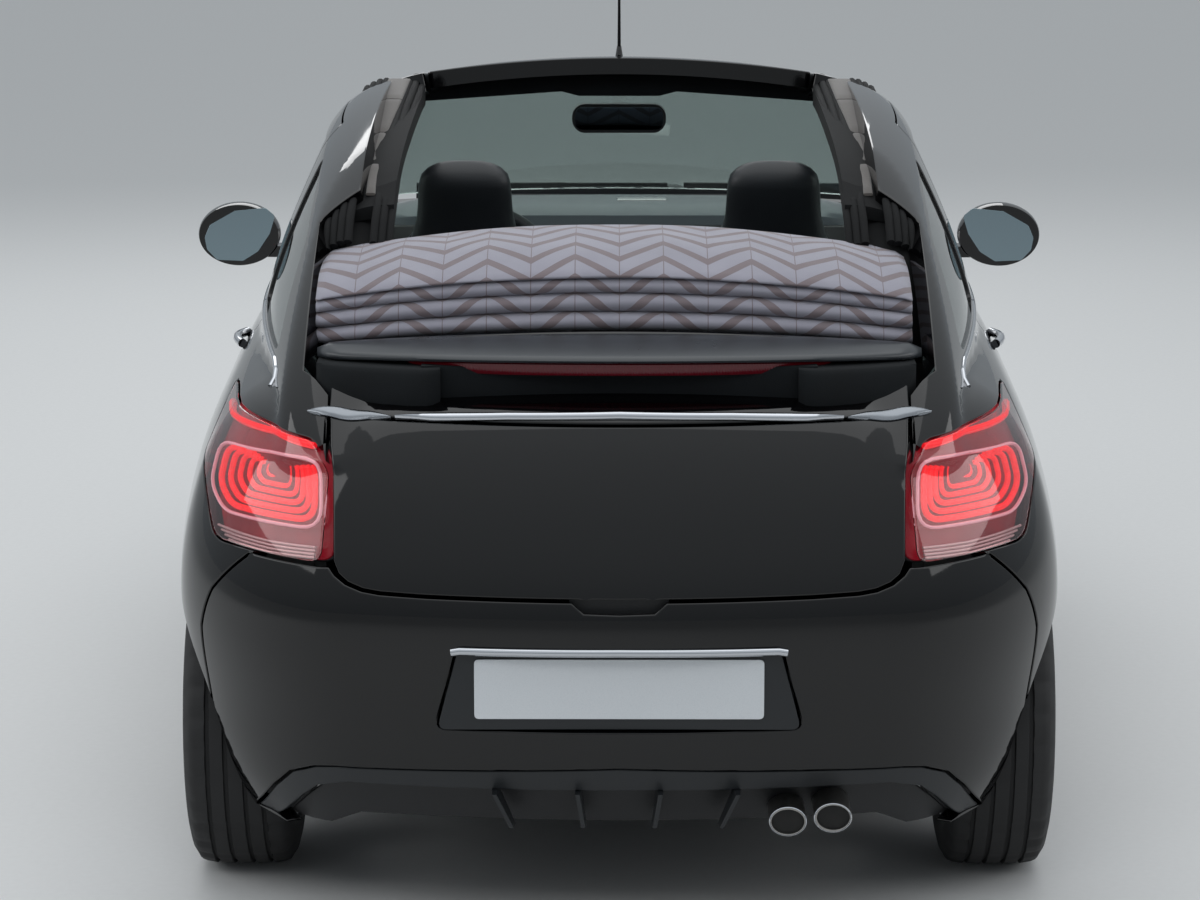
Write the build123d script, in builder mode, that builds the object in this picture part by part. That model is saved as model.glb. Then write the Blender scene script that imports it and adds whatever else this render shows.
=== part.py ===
from build123d import *
import math
import os

os.makedirs("parts", exist_ok=True)

# Open-top three-door hatchback, in millimetres.
# +X points forward, +Y to the car's left, +Z up; the origin lies on the ground under the middle.

# Overall sizes
LENGTH = 3948
BODY_WIDTH = 1714
WHEELBASE = 2464
FRONT_OVERHANG = 790
FRONT_TRACK = 1465
REAR_TRACK = 1456

# Wheels and arches
TYRE_R = 308
TYRE_W = 202
RIM_R = 216
ARCH_R = 352
ARCH_IN_FRONT = 470
ARCH_IN_REAR = 590

# Wall thicknesses and clearances
SIDE_T = 90
END_T = 60
DECK_T = 22
ROOF_T = 42
PILLAR_T = 50
GLASS_T = 5
SHUT = 6
FIT = 0.3
SWING = 18

# Heights of the body's main lines
SILL_Z = 150
FLOOR_Z = 190
FLOOR_T = 20
BOOT_FLOOR_Z = 350
DECK_Z = 1003
COWL_Z = 1060
ROOF_Z = 1458

# Openings seen from the side
DOOR_FRONT = 690
DOOR_REAR = -640
DOOR_BOTTOM = 240
HEADER_REAR = 10
FIREWALL_X = 640

# What follows from them
NOSE_X = LENGTH / 2
TAIL_X = -LENGTH / 2
HALF = BODY_WIDTH / 2
AXLE_F = NOSE_X - FRONT_OVERHANG
AXLE_R = AXLE_F - WHEELBASE
FAR = LENGTH

# Lower body in plan, one row a height: height, then inward steps of the side, nose, tail,
# front corner and rear corner from the overall box, then the bow and corner radius at each end
HULL = [
    (SILL_Z, 87, 124, 144, 150, 160, 300, 150, 420, 260),
    (250, 42, 49, 79, 95, 110, 320, 160, 450, 280),
    (420, 12, 6, 29, 55, 75, 340, 170, 480, 300),
    (600, 0, 0, 0, 40, 60, 350, 175, 480, 300),
    (780, 19, 44, 34, 65, 85, 370, 175, 460, 300),
    (900, 57, 134, 79, 115, 130, 390, 170, 420, 280),
    (1000, 142, 274, 139, 215, 225, 400, 160, 360, 250),
    (1060, 237, 394, 194, 320, 325, 400, 150, 300, 220),
]

# Crown of the bonnet, belt and boot deck along the car: place, height on the centre line,
# and the drop to a metre out
DECK = [
    (TAIL_X - 126, DECK_Z - 43, 100),
    (TAIL_X + 124, DECK_Z, 88),
    (TAIL_X + 524, DECK_Z + 32, 90),
    (-600, COWL_Z - 20, 95),
    (300, COWL_Z - 15, 120),
    (850, COWL_Z, 150),
    (NOSE_X - 674, COWL_Z - 60, 150),
    (NOSE_X - 274, COWL_Z - 160, 165),
    (NOSE_X + 76, COWL_Z - 320, 180),
]

# Glasshouse in plan, one row a height: height, half width, front, rear, half widths at the
# front and rear corners, then the bow and corner radius at each end
CABIN = [
    (900, 772, 1060, -1840, 660, 620, 180, 50, 150, 110),
    (1050, 742, 862, -1705, 640, 600, 170, 45, 140, 100),
    (1250, 668, 505, -1300, 590, 575, 160, 40, 130, 90),
    (ROOF_Z + 22, 560, 60, -800, 500, 500, 130, 35, 120, 80),
]

# Crown of the roof along the car: place, height on the centre line
ROOF = [
    (1150, ROOF_Z),
    (100, ROOF_Z - 2),
    (-300, ROOF_Z),
    (-800, ROOF_Z - 28),
    (-1150, ROOF_Z - 92),
    (-1500, ROOF_Z - 260),
    (-1900, ROOF_Z - 520),
]
ROOF_SAG = 112


# Closed outline with a bowed nose, bowed sides and a bowed tail
def plan_outline(z, half, front, rear, half_f, half_r, bow_f, bow_r, radius_f, radius_r):
    with BuildSketch(Plane.XY.offset(z), mode=Mode.PRIVATE) as outline:
        with BuildLine():
            ThreePointArc((rear + bow_r, -half_r), (rear, 0), (rear + bow_r, half_r))
            ThreePointArc((rear + bow_r, half_r), (-200, half), (front - bow_f, half_f))
            ThreePointArc((front - bow_f, half_f), (front, 0), (front - bow_f, -half_f))
            ThreePointArc((front - bow_f, -half_f), (-200, -half), (rear + bow_r, -half_r))
        make_face()
        fillet(outline.vertices().sort_by(Axis.X)[:2], radius_r)
        fillet(outline.vertices().sort_by(Axis.X)[-2:], radius_f)
    return outline.sketch


def hull_solid(side_in=0, end_in=0):
    with BuildPart(mode=Mode.PRIVATE) as solid:
        for z, side, nose, tail, corner_f, corner_r, bow_f, bow_r, rad_f, rad_r in HULL:
            add(plan_outline(
                z, HALF - side - side_in, NOSE_X - nose - end_in, TAIL_X + tail + end_in,
                HALF - corner_f - side_in, HALF - corner_r - side_in, bow_f, bow_r, rad_f, rad_r,
            ))
        loft()
    return solid.part


def deck_solid(drop=0):
    with BuildPart(mode=Mode.PRIVATE) as solid:
        for x, middle, fall in DECK:
            with BuildSketch(Plane.YZ.offset(x)):
                with BuildLine():
                    edge = middle - fall - drop
                    ThreePointArc((-1000, edge), (0, middle - drop), (1000, edge))
                    Polyline((1000, edge), (1000, 0), (-1000, 0), (-1000, edge))
                make_face()
        loft()
    return solid.part


def cabin_solid(inset=0):
    with BuildPart(mode=Mode.PRIVATE) as solid:
        for z, half, front, rear, half_f, half_r, bow_f, bow_r, rad_f, rad_r in CABIN:
            add(plan_outline(
                z, half - inset, front - inset, rear + inset,
                half_f - inset, half_r - inset, bow_f, bow_r, rad_f, rad_r,
            ))
        loft()
    return solid.part


def roof_solid(drop=0):
    with BuildPart(mode=Mode.PRIVATE) as solid:
        for x, middle in ROOF:
            with BuildSketch(Plane.YZ.offset(x)):
                with BuildLine():
                    edge = middle - ROOF_SAG - drop
                    ThreePointArc((-800, edge), (0, middle - drop), (800, edge))
                    Polyline((800, edge), (800, 600), (-800, 600), (-800, edge))
                make_face()
        loft()
    return solid.part


# Cutting tool with a side-view outline, from one Y to another
def side_tool(points, near, far, radius=0):
    with BuildPart(mode=Mode.PRIVATE) as tool:
        with BuildSketch(Plane.XZ.offset(-far)) as outline:
            Polygon(*points, align=None)
            if radius:
                fillet(outline.vertices(), radius)
        extrude(amount=far - near)
    return tool.part


# Cutting tool with a rear-view outline, from one X to another
def rear_tool(points, near, far, radius=0):
    with BuildPart(mode=Mode.PRIVATE) as tool:
        with BuildSketch(Plane.YZ.offset(near)) as outline:
            Polygon(*points, align=None)
            if radius:
                fillet(outline.vertices(), radius)
        extrude(amount=far - near)
    return tool.part


# Cutting tool with a plan outline, from one Z to another
def plan_tool(points, low, high, radius=0):
    with BuildPart(mode=Mode.PRIVATE) as tool:
        with BuildSketch(Plane.XY.offset(low)) as outline:
            Polygon(*points, align=None)
            if radius:
                fillet(outline.vertices(), radius)
        extrude(amount=high - low)
    return tool.part


# Both halves of a half outline that is given for positive Y, first column Y
def both_halves(points):
    return points + [(-y, z) for y, z in reversed(points)]


def box_tool(x0, x1, y0, y1, z0, z1):
    with BuildPart(mode=Mode.PRIVATE) as tool:
        with Locations(((x0 + x1) / 2, (y0 + y1) / 2, (z0 + z1) / 2)):
            Box(abs(x1 - x0), abs(y1 - y0), abs(z1 - z0))
    return tool.part


# Body shell from which the panels are cut
lower_outer = hull_solid() & deck_solid()
upper_outer = cabin_solid() & roof_solid()
lower_inner = hull_solid(SIDE_T, END_T) & deck_solid(DECK_T)
upper_inner = cabin_solid(PILLAR_T) & roof_solid(ROOF_T)
shell = (lower_outer + upper_outer) - lower_inner - upper_inner
cavity = hull_solid(SIDE_T + FIT, END_T + FIT) & deck_solid(DECK_T + FIT)


# Panels and their openings
BELT_Z = 960
DOOR = [
    (DOOR_FRONT - 50, DOOR_BOTTOM - 35, -SHUT, SHUT),
    (DOOR_FRONT, DOOR_BOTTOM + 60, -SHUT, 0),
    (DOOR_FRONT, 930, -SHUT, 0),
    (DOOR_FRONT - 10, 985, -SHUT, -SHUT / 2),
    (60, 1385, -SHUT / 2, -SHUT),
    (-560, 1372, SWING, -SHUT),
    (DOOR_REAR, 1000, SWING - SHUT, 0),
    (DOOR_REAR - 10, 560, SHUT + 2, 0),
    (DOOR_REAR + 40, DOOR_BOTTOM - 35, SHUT, SHUT),
]
WINDOW = [(560, BELT_Z + 40), (80, 1340), (-512, 1330), (-590, BELT_Z + 60)]
QUARTER = [(-740, 1035), (-1420, 1035), (-1150, 1215), (-720, 1322)]
SCREEN = [(622, 1040), (512, 1398)]
LID = [(455, 676), (512, 706), (520, 800), (522, 900), (530, 980)]
TAIL_LAMP = [(557, 930), (748, 953), (784, 849), (730, 743), (534, 738), (530, 880)]
HEADLAMP = [(1460, 815), (1600, 828), (1800, 790), (FAR, 745), (FAR, 660), (1800, 655), (1600, 730)]
WING = [(705, -100), (705, 950), (930, 1030), (930, 1300), (FAR, 1300), (FAR, -100)]
FRONT_BUMPER = [(1480, -100), (1480, 260), (1530, 290), (1530, 520), (1640, 640), (1720, 660), (1720, 1100), (FAR, 1100), (FAR, -100)]
REAR_BUMPER = [(-FAR, -100), (-FAR, 740), (-1780, 740), (-1690, 640), (-1650, 560), (-1600, 300), (-1380, 290), (-1380, -100)]
BONNET = [(930, 615), (1500, 560), (1690, 460), (1765, 300)]
VALANCE = [(600, 100), (575, 300), (548, 364)]
PLATE_RECESS = [(385, 437), (318, 592)]
GLASS_IN = 12
BUMPER_BOTTOM = 205
VALANCE_Z = 300
RECESS_X = TAIL_X + 36


def wheel_well(axle_x, inner, outer, radius):
    with BuildPart(mode=Mode.PRIVATE) as tool:
        with BuildSketch(Plane.XZ.offset(-outer)):
            with Locations((axle_x, TYRE_R)):
                Circle(radius)
        extrude(amount=outer - inner)
    return tool.part


def step_in(rows):
    return [(x + dx, z + dz) for x, z, dx, dz in rows]


# Outline moved inwards by a gap, each corner along the half angle between its two sides
def shrink(points, gap):
    corners = [Vector(*point) for point in points]
    area = sum(a.X * b.Y - b.X * a.Y for a, b in zip(corners, corners[1:] + corners[:1]))
    inward = math.copysign(gap, area)
    moved = []
    for before, here, after in zip(corners[-1:] + corners[:-1], corners, corners[1:] + corners[:1]):
        first = (here - before).normalized()
        second = (after - here).normalized()
        share = inward / (1 + first.dot(second))
        moved.append((here.X - share * (first.Y + second.Y), here.Y + share * (first.X + second.X)))
    return moved


left_half = box_tool(-FAR, FAR, 0, FAR, -100, FAR)
door_opening = side_tool([(x, z) for x, z, dx, dz in DOOR], 0, FAR)
door_tool = side_tool(step_in(DOOR), 0, FAR)
window_tool = side_tool(WINDOW, 0, FAR, 18)
quarter_tool = side_tool(QUARTER, 0, FAR, 22)
screen_tool = rear_tool(both_halves(SCREEN), 0, 868, 30)
lid_opening = rear_tool(both_halves(LID), -FAR, -1760)
lamp_tool = rear_tool(TAIL_LAMP, -FAR, -1500, 30)
headlamp_tool = side_tool(HEADLAMP, 400, FAR, 18)
wing_tool = side_tool(WING, -FAR, FAR)
front_bumper_tool = side_tool(FRONT_BUMPER, -FAR, FAR)
rear_bumper_tool = side_tool(REAR_BUMPER, -FAR, FAR)
bonnet_plan = [(x, y) for x, y in BONNET] + [(x, -y) for x, y in reversed(BONNET)]
bonnet_opening = plan_tool(bonnet_plan, 700, FAR, 30)
ROOF_OPENING = [(HEADER_REAR, 500), (-1120, 505), (-1180, 582), (-1625, 582), (-1660, 548), (-1900, 546)]
opening_plan = ROOF_OPENING + [(x, -y) for x, y in reversed(ROOF_OPENING)]
roof_opening = plan_tool(opening_plan, DECK_Z + 19, FAR)
well_front = wheel_well(AXLE_F, ARCH_IN_FRONT, FAR, ARCH_R)
well_rear = wheel_well(AXLE_R, ARCH_IN_REAR, FAR, ARCH_R)
wells = [well_front, well_rear, well_front.mirror(Plane.XZ), well_rear.mirror(Plane.XZ)]

opened = shell - roof_opening - screen_tool - wells
front_shell = opened & wing_tool
rear_shell = (opened - wing_tool) & rear_bumper_tool
left_shell = (shell & left_half) - roof_opening - screen_tool - [well_front, well_rear]
left_side = left_shell - wing_tool - rear_bumper_tool

# Doors
with BuildPart() as door_left:
    add(left_side)
    add(door_tool, mode=Mode.INTERSECT)
    add(window_tool, mode=Mode.SUBTRACT)
door_left.part.label = "door_left"
export_step(door_left.part, "parts/door_left.step")

with BuildPart() as door_right:
    mirror(door_left.part, about=Plane.XZ)
door_right.part.label = "door_right"
export_step(door_right.part, "parts/door_right.step")

# Body sides, with sill, B-pillar, C-pillar and roof rail in one pressing
HEADER_Y = 430
COWL_Y = 600
DECK_Y = 500
header_zone = box_tool(-60, 430, -HEADER_Y, HEADER_Y, 1290, FAR)
cowl_zone = box_tool(DOOR_FRONT + 15, 935, -COWL_Y, COWL_Y, 990, FAR)
deck_zone = box_tool(-FAR, -1560, -DECK_Y, DECK_Y, 955, FAR)

with BuildPart() as body_side_left:
    add(left_side)
    add([door_opening, quarter_tool, header_zone, cowl_zone, deck_zone, lid_opening, lamp_tool], mode=Mode.SUBTRACT)
body_side_left.part.label = "body_side_left"
export_step(body_side_left.part, "parts/body_side_left.step")

with BuildPart() as body_side_right:
    mirror(body_side_left.part, about=Plane.XZ)
body_side_right.part.label = "body_side_right"
export_step(body_side_right.part, "parts/body_side_right.step")

# Cross-members that join the two sides: windscreen header, scuttle and boot deck
with BuildPart() as windscreen_header:
    add(opened)
    add(header_zone, mode=Mode.INTERSECT)
windscreen_header.part.label = "windscreen_header"
export_step(windscreen_header.part, "parts/windscreen_header.step")

with BuildPart() as cowl_panel:
    add(opened)
    add(cowl_zone, mode=Mode.INTERSECT)
    add(bonnet_opening, mode=Mode.SUBTRACT)
cowl_panel.part.label = "cowl_panel"
export_step(cowl_panel.part, "parts/cowl_panel.step")

with BuildPart() as rear_deck:
    add(opened - rear_bumper_tool)
    add(deck_zone, mode=Mode.INTERSECT)
    add(lid_opening, mode=Mode.SUBTRACT)
rear_deck.part.label = "rear_deck"
export_step(rear_deck.part, "parts/rear_deck.step")

# Front panels: wings, bumper, bonnet and headlamps
right_lamp_tool = headlamp_tool.mirror(Plane.XZ)
front_rest = front_shell - headlamp_tool - right_lamp_tool - bonnet_opening - cowl_zone

with BuildPart() as front_wing_left:
    add(left_shell)
    add(wing_tool, mode=Mode.INTERSECT)
    add([headlamp_tool, bonnet_opening, cowl_zone, front_bumper_tool], mode=Mode.SUBTRACT)
front_wing_left.part.label = "front_wing_left"
export_step(front_wing_left.part, "parts/front_wing_left.step")

with BuildPart() as front_wing_right:
    mirror(front_wing_left.part, about=Plane.XZ)
front_wing_right.part.label = "front_wing_right"
export_step(front_wing_right.part, "parts/front_wing_right.step")

LOWER_GRILLE = [(400, 235), (470, 420)]
UPPER_GRILLE = [(330, 520), (380, 600), (330, 660)]
lower_mouth = rear_tool(both_halves(LOWER_GRILLE), 1600, FAR, 30)
upper_mouth = rear_tool(both_halves(UPPER_GRILLE), 1600, FAR, 15)

with BuildPart() as front_bumper:
    add(front_rest)
    add(front_bumper_tool, mode=Mode.INTERSECT)
    add([lower_mouth, upper_mouth], mode=Mode.SUBTRACT)
front_bumper.part.label = "front_bumper"
export_step(front_bumper.part, "parts/front_bumper.step")

# Grille in both mouths, set back from the skin, with rows of slots between its bars: mouth,
# corner radius, height of the first slot, number of slots, half width of a slot
BAR_PITCH = 34
SLOT_H = 22
GRILLE_IN = 18
GRILLE_T = 24
GRILLES = [
    (LOWER_GRILLE, 30, 252, 5, 385),
    (UPPER_GRILLE, 15, 533, 3, 315),
]
with BuildPart() as grille:
    for mouth, corner, first, count, half_slot in GRILLES:
        add(rear_tool(shrink(both_halves(mouth), FIT), 1600, FAR, corner))
        for row in range(count):
            slot_z = first + row * BAR_PITCH
            add(box_tool(1500, FAR, -half_slot, half_slot, slot_z, slot_z + SLOT_H), mode=Mode.SUBTRACT)
    add(hull_solid(GRILLE_IN, GRILLE_IN), mode=Mode.INTERSECT)
    add(hull_solid(GRILLE_IN, GRILLE_IN + GRILLE_T), mode=Mode.SUBTRACT)
grille.part.label = "grille"
export_step(grille.part, "parts/grille.step")

with BuildPart() as bonnet:
    add(front_shell + cowl_panel.part)
    add(plan_tool(shrink(bonnet_plan, SHUT), 700, FAR, 25), mode=Mode.INTERSECT)
bonnet.part.label = "bonnet"
export_step(bonnet.part, "parts/bonnet.step")

with BuildPart() as headlamps:
    add(left_shell)
    add(headlamp_tool, mode=Mode.INTERSECT)
    mirror(about=Plane.XZ)
headlamps.part.label = "headlamps"
export_step(headlamps.part, "parts/headlamps.step")

# Rear panels: bumper, valance, boot lid and tail lamps
below_bumper = box_tool(-FAR, -1400, -FAR, FAR, -100, BUMPER_BOTTOM)
valance_tool = rear_tool(both_halves(VALANCE), -FAR, -1650)
plate_recess = rear_tool(both_halves(PLATE_RECESS), -FAR, RECESS_X)

with BuildPart() as rear_bumper:
    add(rear_shell)
    add([below_bumper, valance_tool, lid_opening, lamp_tool, lamp_tool.mirror(Plane.XZ), plate_recess],
        mode=Mode.SUBTRACT)
rear_bumper.part.label = "rear_bumper"
export_step(rear_bumper.part, "parts/rear_bumper.step")

with BuildPart() as rear_valance:
    add(rear_shell)
    add(valance_tool, mode=Mode.INTERSECT)
    add(below_bumper, mode=Mode.SUBTRACT)
    for y0, y1 in ((-620, -470), (-455, -215), (-200, -80), (-65, 65), (80, 200), (215, 335), (350, 620)):
        add(box_tool(-FAR, -1400, y0, y1, 0, VALANCE_Z), mode=Mode.SUBTRACT)
rear_valance.part.label = "rear_valance"
export_step(rear_valance.part, "parts/rear_valance.step")

with BuildPart() as boot_lid:
    add(opened)
    add(rear_tool(shrink(both_halves(LID), SHUT), -FAR, -1760, 20), mode=Mode.INTERSECT)
boot_lid.part.label = "boot_lid"
export_step(boot_lid.part, "parts/boot_lid.step")

with BuildPart() as tail_lamps:
    add(left_shell)
    add(lamp_tool, mode=Mode.INTERSECT)
    mirror(about=Plane.XZ)
tail_lamps.part.label = "tail_lamps"
export_step(tail_lamps.part, "parts/tail_lamps.step")

# Glass, set into the openings
pane = (cabin_solid(GLASS_IN) & roof_solid(GLASS_IN)) - cabin_solid(GLASS_IN + GLASS_T)
with BuildPart() as windscreen:
    add(pane)
    add(rear_tool(shrink(both_halves(SCREEN), FIT), 0, 868, 30), mode=Mode.INTERSECT)
windscreen.part.label = "windscreen"
export_step(windscreen.part, "parts/windscreen.step")

with BuildPart() as door_glass_left:
    add(pane)
    add(side_tool(shrink(WINDOW, FIT), 0, FAR, 18), mode=Mode.INTERSECT)
door_glass_left.part.label = "door_glass_left"
export_step(door_glass_left.part, "parts/door_glass_left.step")

with BuildPart() as door_glass_right:
    mirror(door_glass_left.part, about=Plane.XZ)
door_glass_right.part.label = "door_glass_right"
export_step(door_glass_right.part, "parts/door_glass_right.step")

with BuildPart() as quarter_glass:
    add(pane)
    add(side_tool(shrink(QUARTER, FIT), 0, FAR, 22), mode=Mode.INTERSECT)
    mirror(about=Plane.XZ)
quarter_glass.part.label = "quarter_glass"
export_step(quarter_glass.part, "parts/quarter_glass.step")


# Floor: pan with tunnel, heel board, boot floor, bulkhead and rear wheel housings
TUNNEL_Y = 90
HEEL_X = AXLE_R + 460
LINER_T = 8
BULKHEAD_Z = 960
CABIN_FLOOR = FLOOR_Z + FLOOR_T
with BuildPart() as floor_pan:
    add(box_tool(HEEL_X, FIREWALL_X + FLOOR_T, -HALF, HALF, FLOOR_Z, CABIN_FLOOR))
    add(box_tool(HEEL_X - FLOOR_T, HEEL_X, -HALF, HALF, FLOOR_Z, BOOT_FLOOR_Z))
    add(box_tool(TAIL_X, HEEL_X, -HALF, HALF, BOOT_FLOOR_Z - FLOOR_T, BOOT_FLOOR_Z))
    add(box_tool(FIREWALL_X, FIREWALL_X + FLOOR_T, -HALF, HALF, FLOOR_Z, BULKHEAD_Z))
    with Locations((HEEL_X / 2 + FIREWALL_X / 2, 0, CABIN_FLOOR + 45)):
        Box(FIREWALL_X - HEEL_X, 2 * TUNNEL_Y, 90)
    for side in (-1, 1):
        with BuildSketch(Plane.XZ.offset(-side * ARCH_IN_REAR)):
            with Locations((AXLE_R, TYRE_R)):
                Circle(ARCH_R + LINER_T)
        extrude(amount=-side * (HALF - ARCH_IN_REAR))
        with BuildSketch(Plane.XZ.offset(-side * (ARCH_IN_REAR - LINER_T))):
            with Locations((AXLE_R, TYRE_R)):
                Circle(ARCH_R + LINER_T)
        extrude(amount=-side * LINER_T)
    add(box_tool(-FAR, FAR, -HALF, HALF, 0, FLOOR_Z), mode=Mode.SUBTRACT)
    add([well_rear, well_rear.mirror(Plane.XZ)], mode=Mode.SUBTRACT)
    for side in (-1, 1):
        add(box_tool(AXLE_R - 50, AXLE_R + 50, side * (ARCH_IN_REAR - LINER_T - 1), side * (ARCH_IN_REAR + 1),
                     240, BOOT_FLOOR_Z - FLOOR_T), mode=Mode.SUBTRACT)
    add(cavity, mode=Mode.INTERSECT)
    add(box_tool(HEEL_X - FLOOR_T - 1, FIREWALL_X + FLOOR_T + 1, -TUNNEL_Y + FLOOR_T, TUNNEL_Y - FLOOR_T,
                 0, CABIN_FLOOR + 70), mode=Mode.SUBTRACT)
floor_pan.part.label = "floor_pan"
export_step(floor_pan.part, "parts/floor_pan.step")

# Front structure: two rails, strut towers and the cross panel behind the bumper
RAIL_Y = 400
RAIL_W = 55
TOWER_Z = 850
STRUT_Y = 575
RAIL_OUT = RAIL_Y + RAIL_W
CRASH_X = 1640
FRONT_RAIL_Z = 330
with BuildPart() as front_structure:
    for side in (-1, 1):
        rail_start = FIREWALL_X + FLOOR_T + FIT
        add(box_tool(rail_start, FAR, side * RAIL_Y, side * RAIL_OUT, FRONT_RAIL_Z, FRONT_RAIL_Z + 120))
        add(box_tool(rail_start, CRASH_X + 40, side * (RAIL_OUT - 12), side * RAIL_OUT, FRONT_RAIL_Z, TOWER_Z))
        add(box_tool(AXLE_F - 130, AXLE_F + 130, side * (RAIL_OUT - 12), side * HALF, TOWER_Z - 12, TOWER_Z))
    add(box_tool(CRASH_X, CRASH_X + 40, -RAIL_OUT, RAIL_OUT, FRONT_RAIL_Z, 780))
    add(box_tool(CRASH_X - 1, CRASH_X + 41, -RAIL_Y + 60, RAIL_Y - 60, 400, 720), mode=Mode.SUBTRACT)
    add(cavity, mode=Mode.INTERSECT)
front_structure.part.label = "front_structure"
export_step(front_structure.part, "parts/front_structure.step")

# Front subframe with the lower arms, each arm ending in a ball-joint stud
BALL_Z = 200
KINGPIN_Y = 680
STUD_R = 9
ARM_T = 16
with BuildPart() as front_subframe:
    add(box_tool(AXLE_F - 220, AXLE_F + 150, -430, 430, BALL_Z - 20, BALL_Z + 40))
    add(box_tool(AXLE_F - 120, AXLE_F + 60, -300, 300, BALL_Z - 21, BALL_Z + 41), mode=Mode.SUBTRACT)
    for side in (-1, 1):
        with BuildSketch(Plane.XY.offset(BALL_Z - ARM_T)):
            Polygon((AXLE_F - 200, side * 420), (AXLE_F + 40, side * 420), (AXLE_F + 24, side * KINGPIN_Y),
                    (AXLE_F - 24, side * KINGPIN_Y), align=None)
            with Locations((AXLE_F, side * KINGPIN_Y)):
                Circle(24)
        extrude(amount=ARM_T)
        with BuildSketch(Plane.XY.offset(BALL_Z)):
            with Locations((AXLE_F, side * KINGPIN_Y)):
                Circle(STUD_R)
        extrude(amount=34)
        add(box_tool(AXLE_F - 220, AXLE_F - 150, side * RAIL_Y, side * 430, BALL_Z, FRONT_RAIL_Z - FIT))
front_subframe.part.label = "front_subframe"
export_step(front_subframe.part, "parts/front_subframe.step")

# Engine and gearbox as one block on the subframe
with BuildPart() as engine_block:
    add(box_tool(AXLE_F - 200, AXLE_F + 330, -385, 385, BALL_Z + 40 + FIT, 760))
    fillet(engine_block.edges().filter_by(Axis.Z), 60)
    fillet(engine_block.faces().sort_by(Axis.Z)[-1].edges(), 30)
engine_block.part.label = "engine_block"
export_step(engine_block.part, "parts/engine_block.step")

# Front struts: spring leg under each tower with a fork down to the upper ball joint
UPPER_Z = 420
SPRING_R = 62
with BuildPart() as front_struts:
    for side in (-1, 1):
        with BuildSketch(Plane.XY.offset(UPPER_Z)):
            with Locations((AXLE_F, side * STRUT_Y)):
                Circle(27)
        extrude(amount=TOWER_Z - 12 - FIT - UPPER_Z)
        for turn in range(6):
            with BuildSketch(Plane.XY.offset(TYRE_R * 2 + 40 + turn * 28)):
                with Locations((AXLE_F, side * STRUT_Y)):
                    Circle(SPRING_R)
            extrude(amount=14)
        fork_end = side * (KINGPIN_Y + 20)
        add(box_tool(AXLE_F - 20, AXLE_F + 20, side * STRUT_Y, fork_end, UPPER_Z, UPPER_Z + 16))
        with BuildSketch(Plane.XY.offset(UPPER_Z - 26)):
            with Locations((AXLE_F, side * KINGPIN_Y)):
                Circle(STUD_R)
        extrude(amount=30)
front_struts.part.label = "front_struts"
export_step(front_struts.part, "parts/front_struts.step")

# Steering knuckles: ball-joint bosses, bearing carrier, steering arm and brake caliper
HUB_BORE = 25
DISC_R = 138
DISC_Y = 708
DISC_T = 22
for name, side in (("left", 1), ("right", -1)):
    with BuildPart() as knuckle:
        with BuildSketch(Plane.XZ.offset(-side * 640)):
            with Locations((AXLE_F, TYRE_R)):
                Circle(62)
        extrude(amount=-side * 58)
        add(box_tool(AXLE_F - 20, AXLE_F + 20, side * 662, side * 698, BALL_Z + 4, UPPER_Z - 4))
        add(box_tool(AXLE_F - 150, AXLE_F, side * 662, side * 698, TYRE_R - 22, TYRE_R + 22))
        add(box_tool(AXLE_F - 172, AXLE_F - 92, side * 662, side * 748, TYRE_R - 46, TYRE_R + 46))
        with BuildSketch(Plane.XZ.offset(-side * (DISC_Y - 5))):
            with Locations((AXLE_F, TYRE_R)):
                Circle(DISC_R + 6)
        extrude(amount=-side * (DISC_T + 10), mode=Mode.SUBTRACT)
        with BuildSketch(Plane.XZ.offset(-side * 600)):
            with Locations((AXLE_F, TYRE_R)):
                Circle(HUB_BORE + FIT)
        extrude(amount=-side * 120, mode=Mode.SUBTRACT)
        with BuildSketch(Plane.XY.offset(0)):
            with Locations((AXLE_F, side * KINGPIN_Y)):
                Circle(STUD_R + FIT)
        extrude(amount=BALL_Z + 36, mode=Mode.SUBTRACT)
        with BuildSketch(Plane.XY.offset(UPPER_Z - 28)):
            with Locations((AXLE_F, side * KINGPIN_Y)):
                Circle(STUD_R + FIT)
        extrude(amount=40, mode=Mode.SUBTRACT)
    knuckle.part.label = f"knuckle_{name}"
    export_step(knuckle.part, f"parts/knuckle_{name}.step")

# Rear axle: twist beam, trailing arms, hub carriers and dampers
BEAM_X = AXLE_R + 160
PIVOT_X = AXLE_R + 370
ARM_Y = 545
with BuildPart() as rear_axle:
    add(box_tool(BEAM_X - 35, BEAM_X + 35, -ARM_Y, ARM_Y, TYRE_R - 60, TYRE_R - 5))
    for side in (-1, 1):
        y0 = side * (ARM_Y - 25)
        y1 = side * (ARM_Y + 25)
        add(box_tool(AXLE_R - 45, PIVOT_X, y0, y1, TYRE_R - 60, TYRE_R - 5))
        add(box_tool(AXLE_R - 45, AXLE_R + 45, y0, y1, TYRE_R - 60, TYRE_R + 15))
        add(box_tool(AXLE_R - 40, AXLE_R + 40, side * ARM_Y, side * 650, TYRE_R - 40, TYRE_R + 15))
        add(box_tool(AXLE_R - 40, AXLE_R + 40, side * (ARCH_IN_REAR + 3), side * 650, TYRE_R - 40, TYRE_R + 40))
        with BuildSketch(Plane.XY.offset(TYRE_R)):
            with Locations((AXLE_R - 15, side * (ARM_Y - 5))):
                Circle(24)
        extrude(amount=BOOT_FLOOR_Z - FLOOR_T - FIT - TYRE_R)
        with BuildSketch(Plane.XZ.offset(-side * 600)):
            with Locations((AXLE_R, TYRE_R)):
                Circle(HUB_BORE + FIT)
        extrude(amount=-side * 60, mode=Mode.SUBTRACT)
        add(box_tool(PIVOT_X - 60, PIVOT_X, y0, y1, TYRE_R - 60, BOOT_FLOOR_Z - FLOOR_T - FIT))
rear_axle.part.label = "rear_axle"
export_step(rear_axle.part, "parts/rear_axle.step")

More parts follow.
